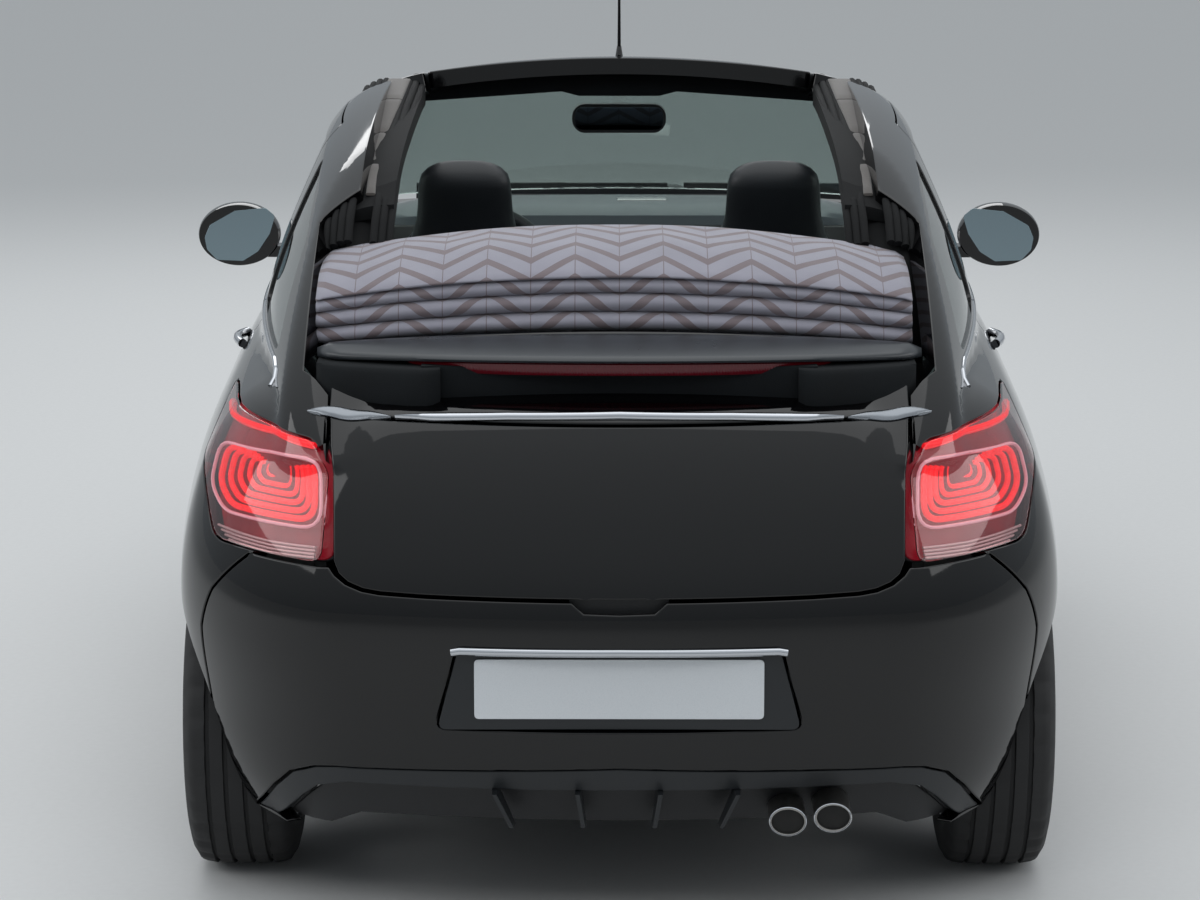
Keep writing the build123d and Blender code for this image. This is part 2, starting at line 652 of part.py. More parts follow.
# Wheels: tyre, and rim with its brake disc and stub axle
SPOKES = 10
wheels = [
    ("front_left", AXLE_F, FRONT_TRACK / 2, 1), ("front_right", AXLE_F, -FRONT_TRACK / 2, -1),
    ("rear_left", AXLE_R, REAR_TRACK / 2, 1), ("rear_right", AXLE_R, -REAR_TRACK / 2, -1),
]
half_w = TYRE_W / 2
for name, x, y, side in wheels:
    hub_plane = Plane(origin=(x, y, TYRE_R), x_dir=(1, 0, 0), z_dir=(0, side, 0))
    with BuildPart() as tyre:
        with BuildSketch(Plane.XZ) as profile:
            with BuildLine():
                Polyline((RIM_R + FIT, -half_w + 8), (RIM_R + 20, -half_w + 2))
                ThreePointArc((RIM_R + 20, -half_w + 2), (RIM_R + 50, -half_w), (TYRE_R - 18, -half_w + 14))
                ThreePointArc((TYRE_R - 18, -half_w + 14), (TYRE_R - 6, -half_w + 24), (TYRE_R - 3, -half_w + 40))
                ThreePointArc((TYRE_R - 3, -half_w + 40), (TYRE_R, 0), (TYRE_R - 3, half_w - 40))
                ThreePointArc((TYRE_R - 3, half_w - 40), (TYRE_R - 6, half_w - 24), (TYRE_R - 18, half_w - 14))
                ThreePointArc((TYRE_R - 18, half_w - 14), (RIM_R + 50, half_w), (RIM_R + 20, half_w - 2))
                Polyline((RIM_R + 20, half_w - 2), (RIM_R + FIT, half_w - 8), (RIM_R + FIT, -half_w + 8))
            make_face()
        revolve(axis=Axis.Z)
    tyre.part.label = f"tyre_{name}"
    placed = tyre.part.moved(hub_plane.location)
    placed.label = tyre.part.label
    export_step(placed, f"parts/tyre_{name}.step")

    with BuildPart() as rim:
        with BuildSketch(Plane.XZ):
            Polygon((RIM_R, -half_w + 8), (RIM_R, half_w - 8), (RIM_R - 8, half_w - 8), (RIM_R - 16, half_w - 26),
                    (RIM_R - 16, -half_w + 26), (RIM_R - 8, -half_w + 8), align=None)
        revolve(axis=Axis.Z)
        with BuildSketch(Plane.XY.offset(half_w - 40)):
            Circle(70)
        extrude(amount=28)
        with BuildSketch(Plane.XY.offset(half_w - 36)):
            with PolarLocations(0, SPOKES):
                Polygon((40, -14), (RIM_R - 10, -9), (RIM_R - 10, 9), (40, 14), align=None)
        extrude(amount=20)
        with BuildSketch(Plane.XY.offset(DISC_Y - FRONT_TRACK / 2)):
            Circle(DISC_R)
        extrude(amount=DISC_T)
        with BuildSketch(Plane.XY.offset(DISC_Y - FRONT_TRACK / 2)):
            Circle(62)
        extrude(amount=half_w - 40 - DISC_Y + FRONT_TRACK / 2)
        with BuildSketch(Plane.XY.offset(-half_w + 12)):
            Circle(HUB_BORE)
        extrude(amount=half_w)
    placed = rim.part.moved(hub_plane.location)
    placed.label = f"rim_{name}"
    export_step(placed, f"parts/rim_{name}.step")


PIPE_Z = 205
PIPE_R = 22

# Fuel tank under the rear seat, held against the boot floor, and the exhaust with twin tips
with BuildPart() as fuel_tank:
    add(box_tool(HEEL_X - FLOOR_T - 230, HEEL_X - FLOOR_T - 15, -440, 440, FLOOR_Z + 5,
                 BOOT_FLOOR_Z - FLOOR_T - FIT))
    fillet(fuel_tank.faces().sort_by(Axis.Z)[0].edges(), 40)
    add(box_tool(HEEL_X - 400, HEEL_X, -50, 50, 0, PIPE_Z + 45), mode=Mode.SUBTRACT)
fuel_tank.part.label = "fuel_tank"
export_step(fuel_tank.part, "parts/fuel_tank.step")

SILENCER_Z = 268
TIPS = [(-305, 265), (-387, 273)]
TIP_X = TAIL_X + 40
with BuildPart() as exhaust:
    with BuildSketch(Plane.YZ.offset(AXLE_R - 420)):
        with Locations((-120, SILENCER_Z)):
            RectangleRounded(560, 120, 50)
    extrude(amount=170)
    for y, z in TIPS:
        with BuildSketch(Plane.YZ.offset(TIP_X)):
            with Locations((y, z)):
                Ellipse(34, 27)
        extrude(amount=240)
    for y, z in TIPS:
        with BuildSketch(Plane.YZ.offset(TIP_X)):
            with Locations((y, z)):
                Ellipse(30, 23)
        extrude(amount=110, mode=Mode.SUBTRACT)
    with BuildSketch(Plane.YZ.offset(AXLE_R - 260)):
        with Locations((0, PIPE_Z)):
            Circle(PIPE_R)
    extrude(amount=AXLE_F - 250 - AXLE_R + 260)
    with BuildSketch(Plane.XY.offset(PIPE_Z)):
        with Locations((AXLE_F - 250, 0)):
            Circle(PIPE_R)
    extrude(amount=195)
    add(box_tool(AXLE_F - 260, AXLE_F - 200 - FIT, -15, 15, PIPE_Z + 150, PIPE_Z + 190))
    for y in (-300, 60):
        add(box_tool(AXLE_R - 380, AXLE_R - 350, y - 12, y + 12, SILENCER_Z, BOOT_FLOOR_Z - FLOOR_T - FIT))
    for x in (-300, 300):
        add(box_tool(x - 12, x + 12, -TUNNEL_Y + FLOOR_T + FIT, TUNNEL_Y - FLOOR_T - FIT, PIPE_Z - 4,
                     PIPE_Z + 4))
exhaust.part.label = "exhaust"
export_step(exhaust.part, "parts/exhaust.step")

# Front seats: cushion, leaning back and one-piece headrest
SEAT_Y = 330
SEAT_W = 470
SEAT_BASE = 250
SEAT_SIDE = [
    (SEAT_BASE, CABIN_FLOOR + FIT), (SEAT_BASE, 400), (SEAT_BASE + 20, 470), (-170, 450), (-200, 520),
    (-330, 1080), (-440, 1075), (-330, 480), (-270, 300), (-240, CABIN_FLOOR + FIT),
]
HEADREST = [(-335, 1075), (-355, 1180), (-400, 1278), (-470, 1284), (-480, 1200), (-435, 1070)]
for name, side in (("left", 1), ("right", -1)):
    with BuildPart() as front_seat:
        add(side_tool(SEAT_SIDE, side * SEAT_Y - SEAT_W / 2, side * SEAT_Y + SEAT_W / 2, 12))
        add(side_tool(HEADREST, side * SEAT_Y - 135, side * SEAT_Y + 135, 10))
    front_seat.part.label = f"front_seat_{name}"
    export_step(front_seat.part, f"parts/front_seat_{name}.step")

# Rear seat for two between the wheel housings
REAR_SEAT = [
    (HEEL_X + 10 + FIT, CABIN_FLOOR + 95), (HEEL_X + 10 + FIT, 440), (HEEL_X - 20, 470), (AXLE_R - 60, 430),
    (AXLE_R - 190, 930), (AXLE_R - 290, 930), (AXLE_R - 170, BOOT_FLOOR_Z + FIT), (HEEL_X + FIT, BOOT_FLOOR_Z + FIT),
    (HEEL_X + FIT, CABIN_FLOOR + 95),
]
with BuildPart() as rear_seat:
    add(side_tool(REAR_SEAT[:-1], -ARCH_IN_REAR + LINER_T + 6, ARCH_IN_REAR - LINER_T - 6))
rear_seat.part.label = "rear_seat"
export_step(rear_seat.part, "parts/rear_seat.step")

# Dashboard with centre console, and the steering column's shroud
DASH_Y = 595
WHEEL_TILT = 25
WHEEL_X = 260
WHEEL_Z = 905
WHEEL_R = 183
DASH = [
    (FIREWALL_X - FIT, 560), (FIREWALL_X - FIT, BULKHEAD_Z + 8), (700, BULKHEAD_Z + 8), (700, 986),
    (640, 1006), (470, 1014), (420, 960), (430, 830), (520, 620),
]
CONSOLE = [(600, CABIN_FLOOR + 90 + FIT), (600, 640), (440, 640), (330, 440), (-180, 420), (-200, CABIN_FLOOR + 90 + FIT)]
column = Plane(origin=(WHEEL_X, SEAT_Y, WHEEL_Z), x_dir=(0, 1, 0),
               z_dir=(math.cos(math.radians(WHEEL_TILT)), 0, -math.sin(math.radians(WHEEL_TILT))))
with BuildPart() as dashboard:
    add(side_tool(DASH, -DASH_Y, DASH_Y, 6))
    add(side_tool(CONSOLE, -TUNNEL_Y + 25, TUNNEL_Y - 25, 6))
    with BuildSketch(column.offset(60)):
        Circle(38)
    extrude(amount=200)
    with BuildSketch(column.offset(50)):
        Circle(20 + FIT)
    extrude(amount=160, mode=Mode.SUBTRACT)
dashboard.part.label = "dashboard"
export_step(dashboard.part, "parts/dashboard.step")

with BuildPart() as steering_wheel:
    with BuildSketch(Plane(origin=column.origin + column.x_dir * WHEEL_R, x_dir=column.x_dir, z_dir=column.y_dir)):
        Circle(15)
    revolve(axis=Axis(column.origin, column.z_dir))
    with BuildSketch(column.offset(-18)):
        Circle(55)
    extrude(amount=45)
    with BuildSketch(column.offset(-8)):
        for turn in (0, 130, 230):
            with Locations(Rotation(0, 0, turn)):
                with Locations((0, 110)):
                    Rectangle(34, 150)
    extrude(amount=14)
    with BuildSketch(column.offset(0)):
        Circle(20)
    extrude(amount=180)
steering_wheel.part.label = "steering_wheel"
export_step(steering_wheel.part, "parts/steering_wheel.step")

# Folded rear panel, spoiler and high brake lamp, all bowed in plan
PANEL_X = -1775
PANEL_Y = 538
PANEL_BOW = 160
SPOILER_Z = 1070
BED_Z = 1100


def bowed_outline(rear_x, bow, half, front_x, height):
    with BuildSketch(Plane.XY.offset(height), mode=Mode.PRIVATE) as outline:
        with BuildLine():
            ThreePointArc((rear_x + bow, -half), (rear_x, 0), (rear_x + bow, half))
            Polyline((rear_x + bow, half), (front_x, half), (front_x, -half), (rear_x + bow, -half))
        make_face()
    return outline.sketch


with BuildPart() as folded_rear_panel:
    add(bowed_outline(PANEL_X, PANEL_BOW, PANEL_Y, -1330, 980))
    extrude(amount=SPOILER_Z - FIT - 980)
    with Locations((-1450, 0, (SPOILER_Z + BED_Z) / 2 - FIT)):
        Box(230, 2 * PANEL_Y, BED_Z - SPOILER_Z)
    add([lower_outer, rear_deck.part], mode=Mode.SUBTRACT)
    add(body_side_left.part, mode=Mode.SUBTRACT)
    add(body_side_right.part, mode=Mode.SUBTRACT)
folded_rear_panel.part.label = "folded_rear_panel"
export_step(folded_rear_panel.part, "parts/folded_rear_panel.step")

with BuildPart() as roof_spoiler:
    add(bowed_outline(PANEL_X - 25, PANEL_BOW + 35, 562, -1572, SPOILER_Z))
    extrude(amount=BED_Z - 2 - SPOILER_Z)
    add(side_tool([(-FAR, 1080), (-1805, 1080), (-1600, BED_Z), (-1600, FAR), (-FAR, FAR)], -HALF, HALF),
        mode=Mode.SUBTRACT)
roof_spoiler.part.label = "roof_spoiler"
export_step(roof_spoiler.part, "parts/roof_spoiler.step")

with BuildPart() as high_brake_lamp:
    add(bowed_outline(PANEL_X - 14, PANEL_BOW, PANEL_Y, -1330, 1050))
    extrude(amount=SPOILER_Z - FIT - 1050)
    add(folded_rear_panel.part, mode=Mode.SUBTRACT)
    add(box_tool(-1900, -1300, -400, 400, 1000, 1200), mode=Mode.INTERSECT)
high_brake_lamp.part.label = "high_brake_lamp"
export_step(high_brake_lamp.part, "parts/high_brake_lamp.step")

# Folded roof on the bed: a stack whose rear edge rolls over in three folds
STACK = [(-1555, 0), (-1340, 0), (-1215, 100), (-1215, 135), (-1250, 156), (-1525, 96),
         (-1550, 82), (-1532, 66), (-1562, 50), (-1540, 34), (-1572, 16)]
STACK_Y = 575
STACK_DROP = 0.45
STACK_BOW = 70


def stack_outline(share):
    flat = 1 - STACK_DROP * share ** 2
    with BuildSketch(Plane.XZ.offset(-share * STACK_Y), mode=Mode.PRIVATE) as outline:
        Polygon(*[(x + STACK_BOW * share ** 2, BED_Z + z * flat) for x, z in STACK], align=None)
    return outline.sketch


with BuildPart() as folded_roof:
    for share in (-1, -0.7, 0, 0.7, 1):
        add(stack_outline(share))
    loft()
folded_roof.part.label = "folded_roof"
export_step(folded_roof.part, "parts/folded_roof.step")

# Roof tracks under the rails
TRACK = [(0, 432), (0, 545), (-1140, 560), (-1140, 440)]
with BuildPart() as roof_tracks:
    add(cabin_solid(PILLAR_T + FIT) & roof_solid(ROOF_T + FIT))
    add(roof_solid(ROOF_T + 34), mode=Mode.SUBTRACT)
    add(plan_tool(TRACK, 1200, FAR), mode=Mode.INTERSECT)
    mirror(about=Plane.XZ)
roof_tracks.part.label = "roof_tracks"
export_step(roof_tracks.part, "parts/roof_tracks.step")

# Door mirrors and door handles
MIRROR_X = 520
MIRROR_Y = 900
MIRROR_Z = 992
body_outer = lower_outer + upper_outer
for name, side in (("left", 1), ("right", -1)):
    with BuildPart() as door_mirror:
        for x, half_y, half_z in ((MIRROR_X - 45, 94, 72), (MIRROR_X - 25, 97, 75), (MIRROR_X + 40, 85, 64),
                                  (MIRROR_X + 85, 50, 38)):
            with BuildSketch(Plane.YZ.offset(x)):
                with Locations((side * MIRROR_Y, MIRROR_Z)):
                    Ellipse(half_y, half_z)
        loft()
        add(box_tool(MIRROR_X - 20, MIRROR_X + 40, side * 700, side * 850, 936, 962))
        add(body_outer, mode=Mode.SUBTRACT)
    door_mirror.part.label = f"mirror_{name}"
    export_step(door_mirror.part, f"parts/mirror_{name}.step")
    with BuildPart() as door_handle:
        add(box_tool(-625, -475, side * 780, side * 836, 908, 930))
        fillet(door_handle.edges().filter_by(Axis.Z), 12)
        add(body_outer, mode=Mode.SUBTRACT)
    door_handle.part.label = f"handle_{name}"
    export_step(door_handle.part, f"parts/handle_{name}.step")

# Small pieces on the body: plate, aerial, inner mirror and wipers
with BuildPart() as number_plate:
    add(box_tool(RECESS_X - FIT - 3, RECESS_X - FIT, -260, 260, 458, 568))
    fillet(number_plate.edges().filter_by(Axis.X), 8)
number_plate.part.label = "number_plate"
export_step(number_plate.part, "parts/number_plate.step")

AERIAL_X = 130
AERIAL_L = 200
AERIAL_LEAN = 32
with BuildPart() as aerial:
    with BuildSketch(Plane.XY.offset(ROOF_Z - 50)):
        with Locations((AERIAL_X, 0)):
            Ellipse(34, 15)
    extrude(amount=64, taper=9)
    mast = Plane(origin=(AERIAL_X, 0, ROOF_Z + 6), z_dir=(-math.sin(math.radians(AERIAL_LEAN)), 0,
                 math.cos(math.radians(AERIAL_LEAN))))
    with BuildSketch(mast):
        Circle(4)
    extrude(amount=AERIAL_L, taper=0.4)
    add(upper_outer, mode=Mode.SUBTRACT)
aerial.part.label = "aerial"
export_step(aerial.part, "parts/aerial.step")

with BuildPart() as interior_mirror:
    with BuildSketch(Plane.YZ.offset(235)):
        with Locations((0, 1296)):
            RectangleRounded(215, 66, 30)
    extrude(amount=26)
    add(box_tool(250, 420, -14, 14, 1300, 1322))
    add(cabin_solid(GLASS_IN + GLASS_T + FIT), mode=Mode.INTERSECT)
interior_mirror.part.label = "interior_mirror"
export_step(interior_mirror.part, "parts/interior_mirror.step")

with BuildPart() as wipers:
    add(box_tool(890, 906, -120, 500, 1000, 1066))
    add(box_tool(890, 906, -560, -160, 1000, 1066))
    add(lower_outer, mode=Mode.SUBTRACT)
wipers.part.label = "wipers"
export_step(wipers.part, "parts/wipers.step")
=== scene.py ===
import math

import bmesh
import bpy
import numpy as np
from mathutils import Matrix, Vector, geometry


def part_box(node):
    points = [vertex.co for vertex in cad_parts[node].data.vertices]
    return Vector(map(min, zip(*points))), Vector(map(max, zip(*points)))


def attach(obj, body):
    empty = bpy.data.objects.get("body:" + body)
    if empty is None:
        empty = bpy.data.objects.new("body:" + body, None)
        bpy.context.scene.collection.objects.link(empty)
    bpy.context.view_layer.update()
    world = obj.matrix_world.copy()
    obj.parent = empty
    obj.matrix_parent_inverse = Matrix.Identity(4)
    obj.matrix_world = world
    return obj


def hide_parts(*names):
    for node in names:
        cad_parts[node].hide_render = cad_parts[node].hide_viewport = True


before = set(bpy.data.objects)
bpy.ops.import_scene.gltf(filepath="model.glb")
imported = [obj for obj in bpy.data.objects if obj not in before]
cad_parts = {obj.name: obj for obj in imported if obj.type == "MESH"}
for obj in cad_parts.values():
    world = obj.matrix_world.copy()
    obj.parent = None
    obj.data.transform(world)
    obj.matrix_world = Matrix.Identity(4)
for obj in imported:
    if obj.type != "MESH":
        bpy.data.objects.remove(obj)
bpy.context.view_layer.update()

scene = bpy.context.scene
scene.view_settings.view_transform = "Standard"


# Studio: a pale floor that fades into a pale surround, soft panels overhead and at the sides.
# The camera stands behind the car and above it, with a long lens.
def linear(code):
    parts = [int(code[i:i + 2], 16) / 255 for i in (1, 3, 5)]
    return [p / 12.92 if p <= 0.04045 else ((p + 0.055) / 1.055) ** 2.4 for p in parts] + [1.0]


# Sets what a node has by name, and its sockets to a value or to what runs into them
def put(made, links=(), **settings):
    for name, value in settings.items():
        if hasattr(made, name):
            setattr(made, name, value)
        else:
            made.inputs[name.replace("_", " ")].default_value = value
    for socket, source in links:
        if isinstance(source, bpy.types.NodeSocket):
            made.id_data.links.new(source, made.inputs[socket])
        else:
            made.inputs[socket].default_value = source


def node(tree, kind, links=(), **settings):
    made = tree.nodes.new(kind)
    put(made, links, **settings)
    return made


def material(name):
    made = bpy.data.materials.new(name)
    made.use_nodes = True
    tree = made.node_tree
    tree.nodes.clear()
    shader = node(tree, "ShaderNodeBsdfPrincipled")
    node(tree, "ShaderNodeOutputMaterial", [("Surface", shader.outputs[0])])
    return made, tree, shader


# Matt paint, rolled on: two near tones in blotches as wide as a roller leaves them, so that the
# floor doesn't look flat close by
floor_finish, tree, shader = material("studio_floor_matt_paint")
place = node(tree, "ShaderNodeTexCoord").outputs["Object"]
blotch = node(tree, "ShaderNodeTexNoise", [("Vector", place)], Scale=1000 / 17, Detail=3.0)
tint = node(tree, "ShaderNodeMix", [("Factor", blotch.outputs["Fac"])], data_type="RGBA", A=linear("#dcdddd"),
            B=linear("#e2e3e3"))
put(shader, [("Base Color", tint.outputs["Result"])], Roughness=0.75)

FLOOR_SIZE = 160
FLOOR_DROP = 0.0015
bpy.ops.mesh.primitive_plane_add(size=FLOOR_SIZE, location=(0, 0, -FLOOR_DROP))
floor = bpy.context.object
floor.name = "studio_floor"
floor.data.materials.append(floor_finish)

# Surround: darker at the horizon and pale overhead, dimmer as a light than it is to the eye
world = bpy.data.worlds.new("studio_surround")
scene.world = world
world.use_nodes = True
tree = world.node_tree
tree.nodes.clear()
coords = node(tree, "ShaderNodeTexCoord")
split = node(tree, "ShaderNodeSeparateXYZ", [("Vector", coords.outputs["Generated"])])
sky = node(tree, "ShaderNodeValToRGB", [("Fac", split.outputs["Z"])])
sky.color_ramp.elements[0].position = 0.0
sky.color_ramp.elements[0].color = linear("#92989d")
sky.color_ramp.elements[1].position = 0.8
sky.color_ramp.elements[1].color = linear("#e2e7eb")
lit = node(tree, "ShaderNodeBackground", [("Color", sky.outputs["Color"])], Strength=0.68)
seen = node(tree, "ShaderNodeBackground", [("Color", sky.outputs["Color"])], Strength=1.0)
light_path = node(tree, "ShaderNodeLightPath")
direct = node(tree, "ShaderNodeMath", [
    (0, light_path.outputs["Is Camera Ray"]), (1, light_path.outputs["Is Transmission Ray"])],
    operation="MAXIMUM")
shown = node(tree, "ShaderNodeMath", [
    (0, direct.outputs[0]), (1, light_path.outputs["Is Glossy Ray"])], operation="MAXIMUM")
pick = node(tree, "ShaderNodeMixShader", [
    ("Fac", shown.outputs[0]), (1, lit.outputs[0]), (2, seen.outputs[0])])
node(tree, "ShaderNodeOutputWorld", [("Surface", pick.outputs[0])])

# Soft panels: name, place, what it faces, width, height and power
PANELS = [
    ("overhead_panel", (-0.6, 0.0, 5.2), (-0.3, 0.0, 0.6), 7.0, 6.0, 96),
    ("left_panel", (-2.0, 6.4, 3.4), (-0.4, 0.0, 0.6), 6.0, 2.6, 80),
    ("right_panel", (-1.6, -6.6, 3.2), (-0.3, 0.0, 0.6), 6.0, 2.4, 68),
    ("rear_panel", (-7.4, 1.0, 5.0), (-1.4, 0.0, 0.6), 5.6, 1.6, 60),
    ("front_panel", (6.8, 0.8, 4.2), (1.0, 0.0, 0.5), 5.4, 1.8, 72),
]
for name, place, aim, width, height, power in PANELS:
    lamp = bpy.data.lights.new(name, "AREA")
    lamp.shape = "RECTANGLE"
    lamp.size = width
    lamp.size_y = height
    lamp.energy = power
    lamp_object = bpy.data.objects.new(name, lamp)
    scene.collection.objects.link(lamp_object)
    lamp_object.location = place
    lamp_object.visible_glossy = name != "rear_panel"
    lamp_object.rotation_euler = (Vector(aim) - Vector(place)).to_track_quat("-Z", "Y").to_euler()

CAMERA_PLACE = Vector((-8.8284, 0.0047, 2.3085))
CAMERA_PITCH = 0.194677
CAMERA_YAW = 0.0042992
LENS_MM = 118.92
look = Vector((
    math.cos(CAMERA_PITCH) * math.cos(CAMERA_YAW),
    math.cos(CAMERA_PITCH) * math.sin(CAMERA_YAW),
    -math.sin(CAMERA_PITCH),
))
lens = bpy.data.cameras.new("camera")
lens.sensor_width = 36.0
lens.lens = LENS_MM
lens.clip_end = 100
camera = bpy.data.objects.new("camera", lens)
scene.collection.objects.link(camera)
camera.location = CAMERA_PLACE
camera.rotation_euler = look.to_track_quat("-Z", "Y").to_euler()
scene.camera = camera


# Body skin: pressed steel panels, welded or bolted to the floor pan, that share one smooth outer
# surface. The surface is two rounded forms, the lower body under its crowned deck and the glasshouse
# under its crowned roof.
def natural_spline(xs, ys, fine):
    n = len(xs)
    h = np.diff(xs)
    left = np.eye(n)
    right = np.zeros(n)
    for i in range(1, n - 1):
        left[i, i - 1:i + 2] = h[i - 1], 2 * (h[i - 1] + h[i]), h[i]
        right[i] = 3 * ((ys[i + 1] - ys[i]) / h[i] - (ys[i] - ys[i - 1]) / h[i - 1])
    bend = np.linalg.solve(left, right)
    i = np.clip(np.searchsorted(xs, fine) - 1, 0, n - 2)
    t = fine - xs[i]
    slope = (ys[i + 1] - ys[i]) / h[i] - h[i] * (2 * bend[i] + bend[i + 1]) / 3
    return ys[i] + t * (slope + t * (bend[i] + t * (bend[i + 1] - bend[i]) / (3 * h[i])))


def fine_rows(rows, steps=400):
    rows = np.array(rows, float) / 1000
    fine = np.linspace(rows[0, 0], rows[-1, 0], steps)
    return [fine] + [natural_spline(rows[:, 0], rows[:, k], fine) for k in range(1, rows.shape[1])]


# Plan outlines, millimetres: height, half width, nose, tail, half widths at the front and rear
# corners, then bow and corner radius at each end
LOWER = fine_rows([
    (150, 770, 1850, -1830, 707, 697, 300, 150, 420, 260),
    (250, 815, 1925, -1895, 762, 747, 320, 160, 450, 280),
    (420, 845, 1968, -1945, 802, 782, 340, 170, 480, 300),
    (600, 857, 1974, -1974, 817, 797, 350, 175, 480, 300),
    (780, 838, 1930, -1940, 792, 772, 370, 175, 460, 300),
    (900, 800, 1840, -1895, 742, 727, 390, 170, 420, 280),
    (1000, 715, 1700, -1835, 642, 632, 400, 160, 360, 250),
    (1060, 620, 1580, -1780, 537, 532, 400, 150, 300, 220),
])
UPPER = fine_rows([
    (900, 772, 1060, -1840, 660, 620, 180, 50, 150, 110),
    (1050, 742, 862, -1705, 640, 600, 170, 45, 140, 100),
    (1250, 668, 505, -1300, 590, 575, 160, 40, 130, 90),
    (1480, 560, 60, -800, 500, 500, 130, 35, 120, 80),
])
# Crown of the deck: place along the car, height on the centre line, drop a metre out
DECK = fine_rows([
    (-2100, 960, 100), (-1850, 1003, 88), (-1450, 1035, 90), (-600, 1040, 95), (300, 1045, 120),
    (850, 1060, 150), (1300, 1000, 150), (1700, 900, 165), (2050, 740, 180),
])
ROOF = fine_rows([
    (-1900, 938), (-1500, 1198), (-1150, 1366), (-800, 1430), (-300, 1458), (100, 1456), (1150, 1458),
])
SILL_Z = 0.15


def rounded_edge(a, b, r):
    return np.minimum(np.maximum(a, b), -r) + np.hypot(np.maximum(a + r, 0), np.maximum(b + r, 0))


def filled_corner(a, b, r):
    return np.maximum(np.minimum(a, b), r) - np.hypot(np.maximum(r - a, 0), np.maximum(r - b, 0))


def walls(rows, x, y, z, middle=-0.2):
    half, nose, tail, half_f, half_r, bow_f, bow_r, rad_f, rad_r = [
        np.interp(z, rows[0], column) for column in rows[1:]]
    out = np.abs(y)
    ahead = x > middle
    share = np.where(ahead, (x - middle) / (nose - bow_f - middle), (middle - x) / (middle - tail - bow_r))
    side = out - half + np.where(ahead, half - half_f, half - half_r) * share ** 2
    behind = tail + bow_r * (out / half_r) ** 2 - x
    front = x - nose + bow_f * (out / half_f) ** 2
    return rounded_edge(rounded_edge(side, behind, rad_r), front, rad_f)


# The arches stand proud of the sides: place along the car, how far they swell, how long
FLARES = [(-1.22, 0.022, 0.42), (1.18, 0.014, 0.36)]


def lower_body(x, y, z):
    swell = sum(out * np.exp(-((x - at) / long) ** 2) for at, out, long in FLARES)
    swell = swell * np.exp(-((z - 0.62) / 0.30) ** 2)
    y = np.sign(y) * np.maximum(np.abs(y) - swell, 0)
    crown = np.interp(x, DECK[0], DECK[1]) - np.interp(x, DECK[0], DECK[2]) * y ** 2
    form = rounded_edge(walls(LOWER, x, y, z), z - crown, 0.035)
    return rounded_edge(form, SILL_Z - z, 0.03)


def upper_body(x, y, z):
    crown = np.interp(x, ROOF[0], ROOF[1]) - 0.112 * (y / 0.8) ** 2
    return rounded_edge(walls(UPPER, x, y, z), z - crown, 0.06)


def body_form(p):
    x, y, z = p[:, 0], p[:, 1], p[:, 2]
    return filled_corner(lower_body(x, y, z), upper_body(x, y, z), 0.012)


def slope_of(form, p, eps=0.006):
    found = np.stack([
        form(p + eps * axis) - form(p - eps * axis) for axis in np.eye(3)], axis=1)
    return found / np.maximum(np.linalg.norm(found, axis=1, keepdims=True), 1e-9)


# First crossing of the form on each ray, from outside inwards
def land(form, origin, way, reach=1.6, coarse=80, halvings=22):
    near = np.zeros(len(origin))
    step = reach / coarse
    found = np.zeros(len(origin), bool)
    for k in range(1, coarse + 1):
        inside = (form(origin + way * (k * step)) < 0) & ~found
        near[inside] = (k - 1) * step
        found |= inside
    near[~found] = reach
    far = near + step
    for _ in range(halvings):
        middle = (near + far) / 2
        inside = form(origin + way * middle[:, None]) < 0
        far = np.where(inside, middle, far)
        near = np.where(inside, near, middle)
    return origin + way * near[:, None]


# Ways to unroll a panel: along a view, or as a hoop about a spine with rounded ends, or as a
# wrap about an upright line. Each has its own plane coordinates and its own rays. Turns are
# unrolled at a radius of SCALE.
SPINE = (0.30, 0.85)
SPINE_X = (-1.30, 1.20)
SCALE = 0.6


def flatten(kind, p):
    x, y, z = p[:, 0], p[:, 1], p[:, 2]
    if kind == "side":
        return np.stack([x, z], 1)
    if kind in ("rear", "front"):
        return np.stack([y, z], 1)
    if kind == "top":
        return np.stack([x, y], 1)
    if kind == "hoop":
        across = np.hypot(y - SPINE[0], z - SPINE[1])
        turn = np.arctan2(z - SPINE[1], y - SPINE[0])
        held = np.clip(x, *SPINE_X)
        return np.stack([held + SCALE * np.arctan2(x - held, across), SCALE * turn], 1)
    centre = SPINE_X[0] if kind == "tail" else SPINE_X[1]
    away = -1 if kind == "tail" else 1
    return np.stack([SCALE * np.arctan2(y, away * (x - centre)), z], 1)


def rays(kind, uv):
    u, v = uv[:, 0], uv[:, 1]
    zero = np.zeros_like(u)
    if kind == "side":
        return np.stack([u, zero + 1.1, v], 1), np.stack([zero, zero - 1, zero], 1)
    if kind == "rear":
        return np.stack([zero - 2.3, u, v], 1), np.stack([zero + 1, zero, zero], 1)
    if kind == "front":
        return np.stack([zero + 2.3, u, v], 1), np.stack([zero - 1, zero, zero], 1)
    if kind == "top":
        return np.stack([u, v, zero + 1.8], 1), np.stack([zero, zero, zero - 1], 1)
    if kind == "hoop":
        held = np.clip(u, *SPINE_X)
        lean = (u - held) / SCALE
        turn = v / SCALE
        way = np.stack([np.sin(lean), np.cos(lean) * np.cos(turn), np.cos(lean) * np.sin(turn)], 1)
        start = np.stack([held, zero + SPINE[0], zero + SPINE[1]], 1)
        return start + way * 1.5, -way
    centre = SPINE_X[0] if kind == "tail" else SPINE_X[1]
    away = -1 if kind == "tail" else 1
    turn = u / SCALE
    way = np.stack([away * np.cos(turn), np.sin(turn), zero], 1)
    return np.stack([zero + centre, zero, v], 1) + way * 1.5, -way


